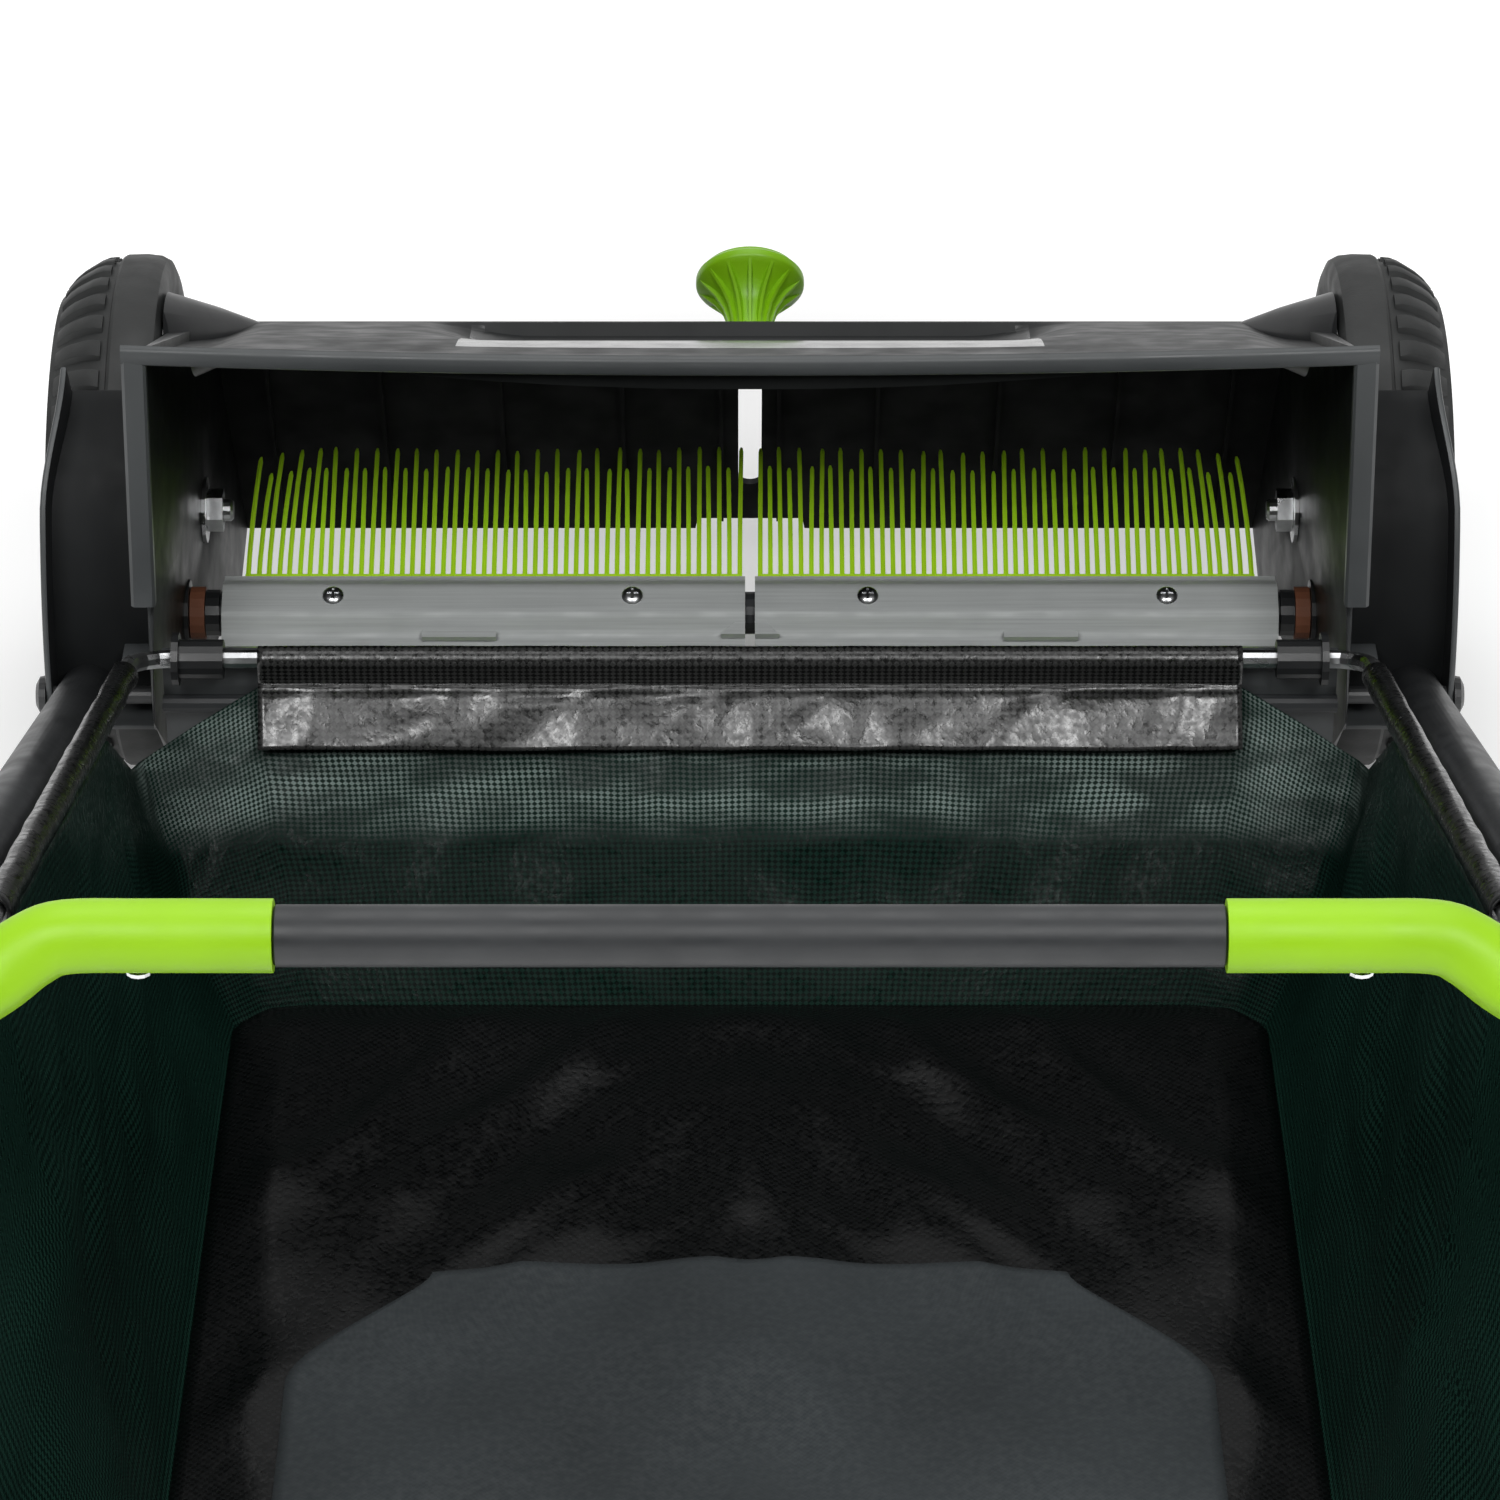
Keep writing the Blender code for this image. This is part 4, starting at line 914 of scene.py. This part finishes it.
# a soft crest winds round the joint and dies out before the bar
for ring, middle, share in zip(jointRings, jointLine, jointShares):
    crestTurn = 0.55 - 1.3 * share
    crestRise = joint["crest"] * math.sin(math.pi * min(1, share * 1.15))
    for spot in ring:
        reach = spot - middle
        around = math.atan2(reach.z, -reach.y)
        spot += reach * crestRise * math.exp(-((around - crestTurn) / joint["crestWidth"]) ** 2)
rightJoint = loftSections("rightCornerJoint", jointRings)
softenEdges(rightJoint, 0.0016, 3, 60)
dressPair(rightJoint, limePlastic, "handle", "corner_joint", 45)
print("handle joints")


# bag: hung cloth walls, floor, grey base panel, rod sleeve and side hems

bag = {
    "rod": (-0.165, 0.1281), "rodSlope": 0.32962, "floorHalf": 0.2215, "floorFront": -0.247, "floorRear": -0.699,
    "floorEdge": 0.03, "floorLow": 0.0034, "panelFront": -0.4590, "panelRear": -0.690, "panelHalf": 0.180,
    "panelOver": 0.0022, "tuckFrom": 0.94, "tuckDepth": 0.12, "tuckZ": 0.0016, "middleY": -0.474,
    "wallFoot": 0.0022,
}
sleeve = {
    "half": 0.2118, "radius": 0.0052, "wrapShare": 0.30, "wrapFrom": -40, "wrap": 240,
    "fall": [(-0.0038, -0.0080), (-0.0042, -0.0132), (-0.0084, -0.0193), (-0.0142, -0.0268), (-0.0195, -0.0345)],
}
hem = {
    "front": -0.205, "length": 0.445, "x": 0.266, "radius": 0.0060, "from": 60, "wrap": 285, "flap": 0.92,
    "flapDrop": 0.004,
}
rodY, rodZ = bag["rod"]


def clothSheet(name, columns, rows, place, size, thick, wrap=False):
    # a grid of cloth laid by place(u, v), with its own map in metres
    ring = columns if wrap else columns + 1
    points = [place(i / columns, j / rows) for j in range(rows + 1) for i in range(ring)]
    faces = []
    for j in range(rows):
        for i in range(columns):
            a, b = j * ring + i, j * ring + (i + 1) % ring
            faces.append((a, b, b + ring, a + ring))
    cloth = bpy.data.meshes.new(name)
    cloth.from_pydata(points, [], faces)
    clothMap = cloth.uv_layers.new(name="clothMap")
    for face in cloth.polygons:
        j, i = divmod(face.index, columns)
        for corner, (du, dv) in zip(face.loop_indices, ((0, 0), (1, 0), (1, 1), (0, 1))):
            clothMap.data[corner].uv = ((i + du) / columns * size[0], (j + dv) / rows * size[1])
    piece = bpy.data.objects.new(name, cloth)
    bpy.context.collection.objects.link(piece)
    applyModifier(piece, "SOLIDIFY", thickness=thick, offset=0)
    for face in piece.data.polygons:
        face.use_smooth = True
    return piece


def crumple(x, y, z, scale, seed):
    return noise.noise(Vector((x * scale + seed, y * scale - seed, z * scale)))


def ridged(x, y, z, scale, seed):
    return 1 - 2 * abs(noise.noise(Vector((x * scale + seed, y * scale, z * scale - seed))))


# right half of the walls' top and foot, from the front's middle to the rear's, and the columns in each span
rimHalf = [
    (0.0, rodY + 0.003, rodZ - 0.015), (sleeve["half"], rodY + 0.003, rodZ - 0.015), (0.240, -0.176, 0.1010),
    (0.2615, -0.186, 0.0900), (0.2635, -0.215, 0.1010), (0.2635, -0.300, 0.1630), (0.2668, -0.640, 0.2770),
    (0.2668, -0.743, 0.0970), (0.0, -0.746, 0.0930),
]
floorHalf = [(x, y, bag["wallFoot"]) for x, y in (
    (0.0, -0.249), (0.188, -0.249), (0.207, -0.253), (0.2195, -0.265), (0.2215, -0.285), (0.2215, -0.340),
    (0.2215, -0.640), (0.2165, -0.699), (0.0, -0.699))]
spanCounts = [26, 5, 4, 5, 12, 34, 14, 20]


def fullLoop(corners):
    right = []
    for a, b, count in zip(corners, corners[1:], spanCounts):
        right += [Vector(a).lerp(Vector(b), k / count) for k in range(count)]
    right.append(Vector(corners[-1]))
    return right + [Vector((-p.x, p.y, p.z)) for p in reversed(right[1:-1])]


rimLoop, floorLoop = fullLoop(rimHalf), fullLoop(floorHalf)
loopCount = len(rimLoop)


def wallSpot(u, v):
    i = round(u * loopCount) % loopCount
    high, low = rimLoop[i], floorLoop[i]
    if v > bag["tuckFrom"]:  # turned in under the floor
        tuck = bag["tuckDepth"] * (v - bag["tuckFrom"]) / (1 - bag["tuckFrom"])
        return Vector((low.x * (1 - tuck), low.y + (bag["middleY"] - low.y) * tuck + axleY, bag["tuckZ"]))
    v /= bag["tuckFrom"]
    spot = high.lerp(low, v)
    out = Vector((spot.x, (spot.y + 0.45) * 0.9, 0)).normalized()
    slack = math.sin(math.pi * min(1, v * 1.02)) ** 0.8
    belly = 0.0045 * slack
    fold = 0.0050 * crumple(*spot, 11, 3.1) + 0.0032 * ridged(*spot, 24, 8.4)
    fold += 0.0014 * ridged(*spot, 60, 1.7) * max(0, 1 - 2 * v)
    return spot + out * (belly + fold * slack) + axleShift


def floorRise(x, y):
    inside = (bag["floorHalf"] - abs(x), bag["floorFront"] - y, y - bag["floorRear"])
    edge = math.prod(min(1, max(0, reach / bag["floorEdge"])) for reach in inside)
    slant = abs(x) + 0.55 * y
    swell = 0.0060 + 0.0055 * crumple(abs(x) * 1.1 + abs(y) * 0.5, y, 0, 9, 5.5)
    swell += 0.0052 * ridged(slant, 0.35 * y, 0, 15, 2.2)
    swell += 0.0022 * ridged(slant, 0.4 * y, 0.2, 38, 6.1) * (1 - easeBetween(0.15, 0.23, bag["floorFront"] - y))
    return bag["floorLow"] + max(0.0, swell) * edge


def floorSpot(u, v):
    y = bag["floorFront"] + (bag["floorRear"] - bag["floorFront"]) * v
    half = bag["floorHalf"] - 0.0015 - 0.016 * (1 - easeBetween(0.0, 0.05, v))
    x = (2 * u - 1) * half
    return Vector((x, y + axleY, floorRise(x, y)))


def panelSpot(u, v):
    side = 2 * u - 1
    x = side * bag["panelHalf"] * (0.70 + 0.30 * easeBetween(0.0, 0.34, v) ** 0.8)
    front = bag["panelFront"] - 0.012 * abs(side) ** 3
    y = front + (bag["panelRear"] - front) * v
    return Vector((x, y + axleY, floorRise(x, y) + bag["panelOver"]))


wrapEnd = math.radians(sleeve["wrapFrom"] + sleeve["wrap"])
wrapFoot = (0, sleeve["radius"] * math.cos(wrapEnd), sleeve["radius"] * math.sin(wrapEnd))
sleeveLine = smoothPath([wrapFoot, *[(0, y, z) for y, z in sleeve["fall"]]], 8)


def sleeveSpot(u, v):
    x = (2 * u - 1) * sleeve["half"]
    wave = 0.0013 * ridged(x + 0.05 * v, v * 0.06, 0, 27, 4.4) + 0.0005 * crumple(x, v * 0.06, 0, 60, 9.9)
    if v < sleeve["wrapShare"]:
        turn = math.radians(sleeve["wrapFrom"] + sleeve["wrap"] * v / sleeve["wrapShare"])
        radius = sleeve["radius"] + 0.15 * max(0.0, wave)
        y, z = radius * math.cos(turn), radius * math.sin(turn)
    else:
        down = (v - sleeve["wrapShare"]) / (1 - sleeve["wrapShare"]) * (len(sleeveLine) - 1)
        k = min(int(down), len(sleeveLine) - 2)
        spot = sleeveLine[k].lerp(sleeveLine[k + 1], down - k)
        loose = easeBetween(9, 20, down)
        lift = (0.0022 * math.sin(math.pi * min(1, loose * 0.9)) + wave * 1.3) * loose
        y, z = spot.y - lift * 0.70, spot.z + lift * 0.70
    return Vector((x, rodY + y + axleY, rodZ + z))


def hemSpot(side):
    # a rolled hem along a side rod, with a flap down to the wall's edge
    def place(u, v):
        y = hem["front"] - hem["length"] * u
        z = rodZ + (rodY - y) * bag["rodSlope"]
        turn = math.radians(hem["from"] + hem["wrap"] * v)
        radius = hem["radius"] + 0.0008 * crumple(y, v * 0.05, side, 45, 2.0)
        rise = radius * math.sin(turn) - (hem["flapDrop"] if v > hem["flap"] else 0)
        return Vector((side * (hem["x"] + radius * math.cos(turn)), y + axleY + 0.31 * rise, z + 0.95 * rise))
    return place


bagWalls = clothSheet("bagWalls", loopCount, 34, wallSpot, (2.05, 0.21), 0.0014, wrap=True)
bagFloor = clothSheet("bagFloor", 84, 84, floorSpot, (0.442, 0.452), 0.0012)
bagPanel = clothSheet("bagPanel", 72, 56, panelSpot, (0.36, 0.245), 0.0012)
rodSleeve = clothSheet("rodSleeve", 150, 36, sleeveSpot, (0.4236, 0.066), 0.0010)
for side, word in ((1, "right"), (-1, "left")):
    sideHem = clothSheet(word + "SideHem", 60, 18, hemSpot(side), (0.468, 0.030), 0.0010)
    dress(sideHem, blackWoven, "bag")

dress(bagWalls, greenWoven, "bag", ["bag"])
dress(bagFloor, blackWoven, "bag")
dress(bagPanel, greyWoven, "bag")
# the sleeve's raised colour is painted sheen
dress(rodSleeve, sleeveSheenWoven, "bag")
print("bag cloth")


# guards: smooth troughs behind the wheels, with a shelf and a bottom lip

guard = {
    "inX": 0.2578, "outX": 0.3065, "topX": 0.2985, "middleX": 0.28, "inR": 0.1215, "outR": 0.1470, "skin": 0.0028,
    "from": 128.0, "to": 194.0, "fullFrom": 154, "flare": 0.0018, "steps": 24, "hollowR": 0.130,
    "shelf": 181.5, "shelfX": 0.2735, "shelfShort": 0.0035, "lip": 193.6, "lipShort": 0.0008, "shelfHalf": 0.45,
}
skin, outR = guard["skin"], guard["outR"]
wallIn, wallOut, troughR = guard["inX"] + skin, guard["outX"] - skin, guard["inR"] + skin


def arcSpot(radius, degrees):
    turn = math.radians(degrees)
    return axleY + radius * math.cos(turn), axleZ + radius * math.sin(turn)


guardSection = [
    (guard["inX"], guard["inR"]), (guard["outX"], guard["inR"]), (guard["outX"], outR), (wallOut, outR),
    (wallOut, troughR), (wallIn, troughR), (wallIn, outR), (guard["inX"], outR),
]
guardRings = []
for share in shares(guard["steps"]):
    degrees = guard["from"] + (guard["to"] - guard["from"]) * share
    flare = guard["flare"] * math.sin(math.pi * share)
    narrow = (guard["outX"] - guard["topX"]) * (1 - easeBetween(guard["from"], guard["fullFrom"], degrees))
    ring = []
    for x, radius in guardSection:
        outer = x > guard["middleX"]
        radius -= flare if outer and radius == outR else 0
        ring.append((x - (narrow if outer else 0), *arcSpot(radius, degrees)))
    guardRings.append(ring)
guardTrough = loftSections("rightGuard", guardRings)
softenEdges(guardTrough, 0.0009, 2, 50)
troughFaces = len(guardTrough.data.polygons)
guardPieces = [guardTrough]
for degrees, short, shelfX in (
    (guard["shelf"], guard["shelfShort"], guard["shelfX"]), (guard["lip"], guard["lipShort"], wallOut + 0.0004),
):
    root, reach, half = troughR - 0.0006, outR - short, guard["shelfHalf"]
    shelfRing = [(root, -half), (reach, -half), (reach, half), (root, half)]
    shelf = loftSections("guardShelf", [
        [(x, *arcSpot(radius, degrees + turn)) for radius, turn in shelfRing] for x in (wallIn - 0.0004, shelfX)])
    softenEdges(shelf, 0.0005, 2, 50)
    guardPieces.append(shelf)
rightGuard = joinPieces("rightGuard", guardPieces)
for piece in dressPair(rightGuard, blackPlastic, "hood", "guard", 35):
    piece.data.materials.append(guardHollowShade)
    piece.data.materials.append(rimPlastic)
    # the hollow takes the darker plastic as painted shade; the rolled edges, shelf and bottom lip take the lighter
    # rim plastic as painted highlight
    for face in piece.data.polygons:
        out = Vector((face.center.y - axleY, face.center.z - axleZ))
        if Vector((face.normal.y, face.normal.z)).dot(out.normalized()) > 0.7:
            face.material_index = 1 if out.length < guard["hollowR"] else 2  # hollow, or rolled edge
        elif face.index >= troughFaces:
            face.material_index = 2  # shelf and bottom lip
print("guards")


# handle tubes and crossbar, round and smooth, with a short cap at the tubes' feet

tube = {
    "radius": 0.0125, "past": 0.0075, "cap": 0.0015, "capRound": 0.0012,
    "barHalf": 0.154, "barRadius": 0.0102, "barRound": 0.0006, "wall": 0.0012,
}
tubeFootSpot, tubeTopSpot = tubeFoot + axleShift, tubeTop + axleShift
tubeLine = [
    tubeFootSpot - tubeAim * tube["past"], tubeFootSpot - tubeAim * (tube["past"] - tube["cap"]),
    tubeFootSpot.lerp(tubeTopSpot, 0.5), tubeTopSpot,
]
tubeRadii = [tube["radius"] - tube["capRound"]] + [tube["radius"]] * 3
rightTube = loftSections("rightHandleTube", sweptRings(tubeLine, tubeRadii, 40))
# the side tubes take the darker tube finish, as painted shade
dressPair(rightTube, shadedSideTube, "handle", "handle_tube", 40)
barHalf, barRadius, barRound = tube["barHalf"], tube["barRadius"], tube["barRound"]
barLine = [
    (-barHalf, barRadius - barRound), (-barHalf + barRound, barRadius), (barHalf - barRound, barRadius),
    (barHalf, barRadius - barRound), (barHalf, barRadius - tube["wall"]), (-barHalf, barRadius - tube["wall"]),
]
gripBar = spinProfile("gripBar", barLine, 48, (barY + axleY, barZ))
dress(gripBar, blackTube, "handle", ["crossbar"], 40)
print("handle tubes")
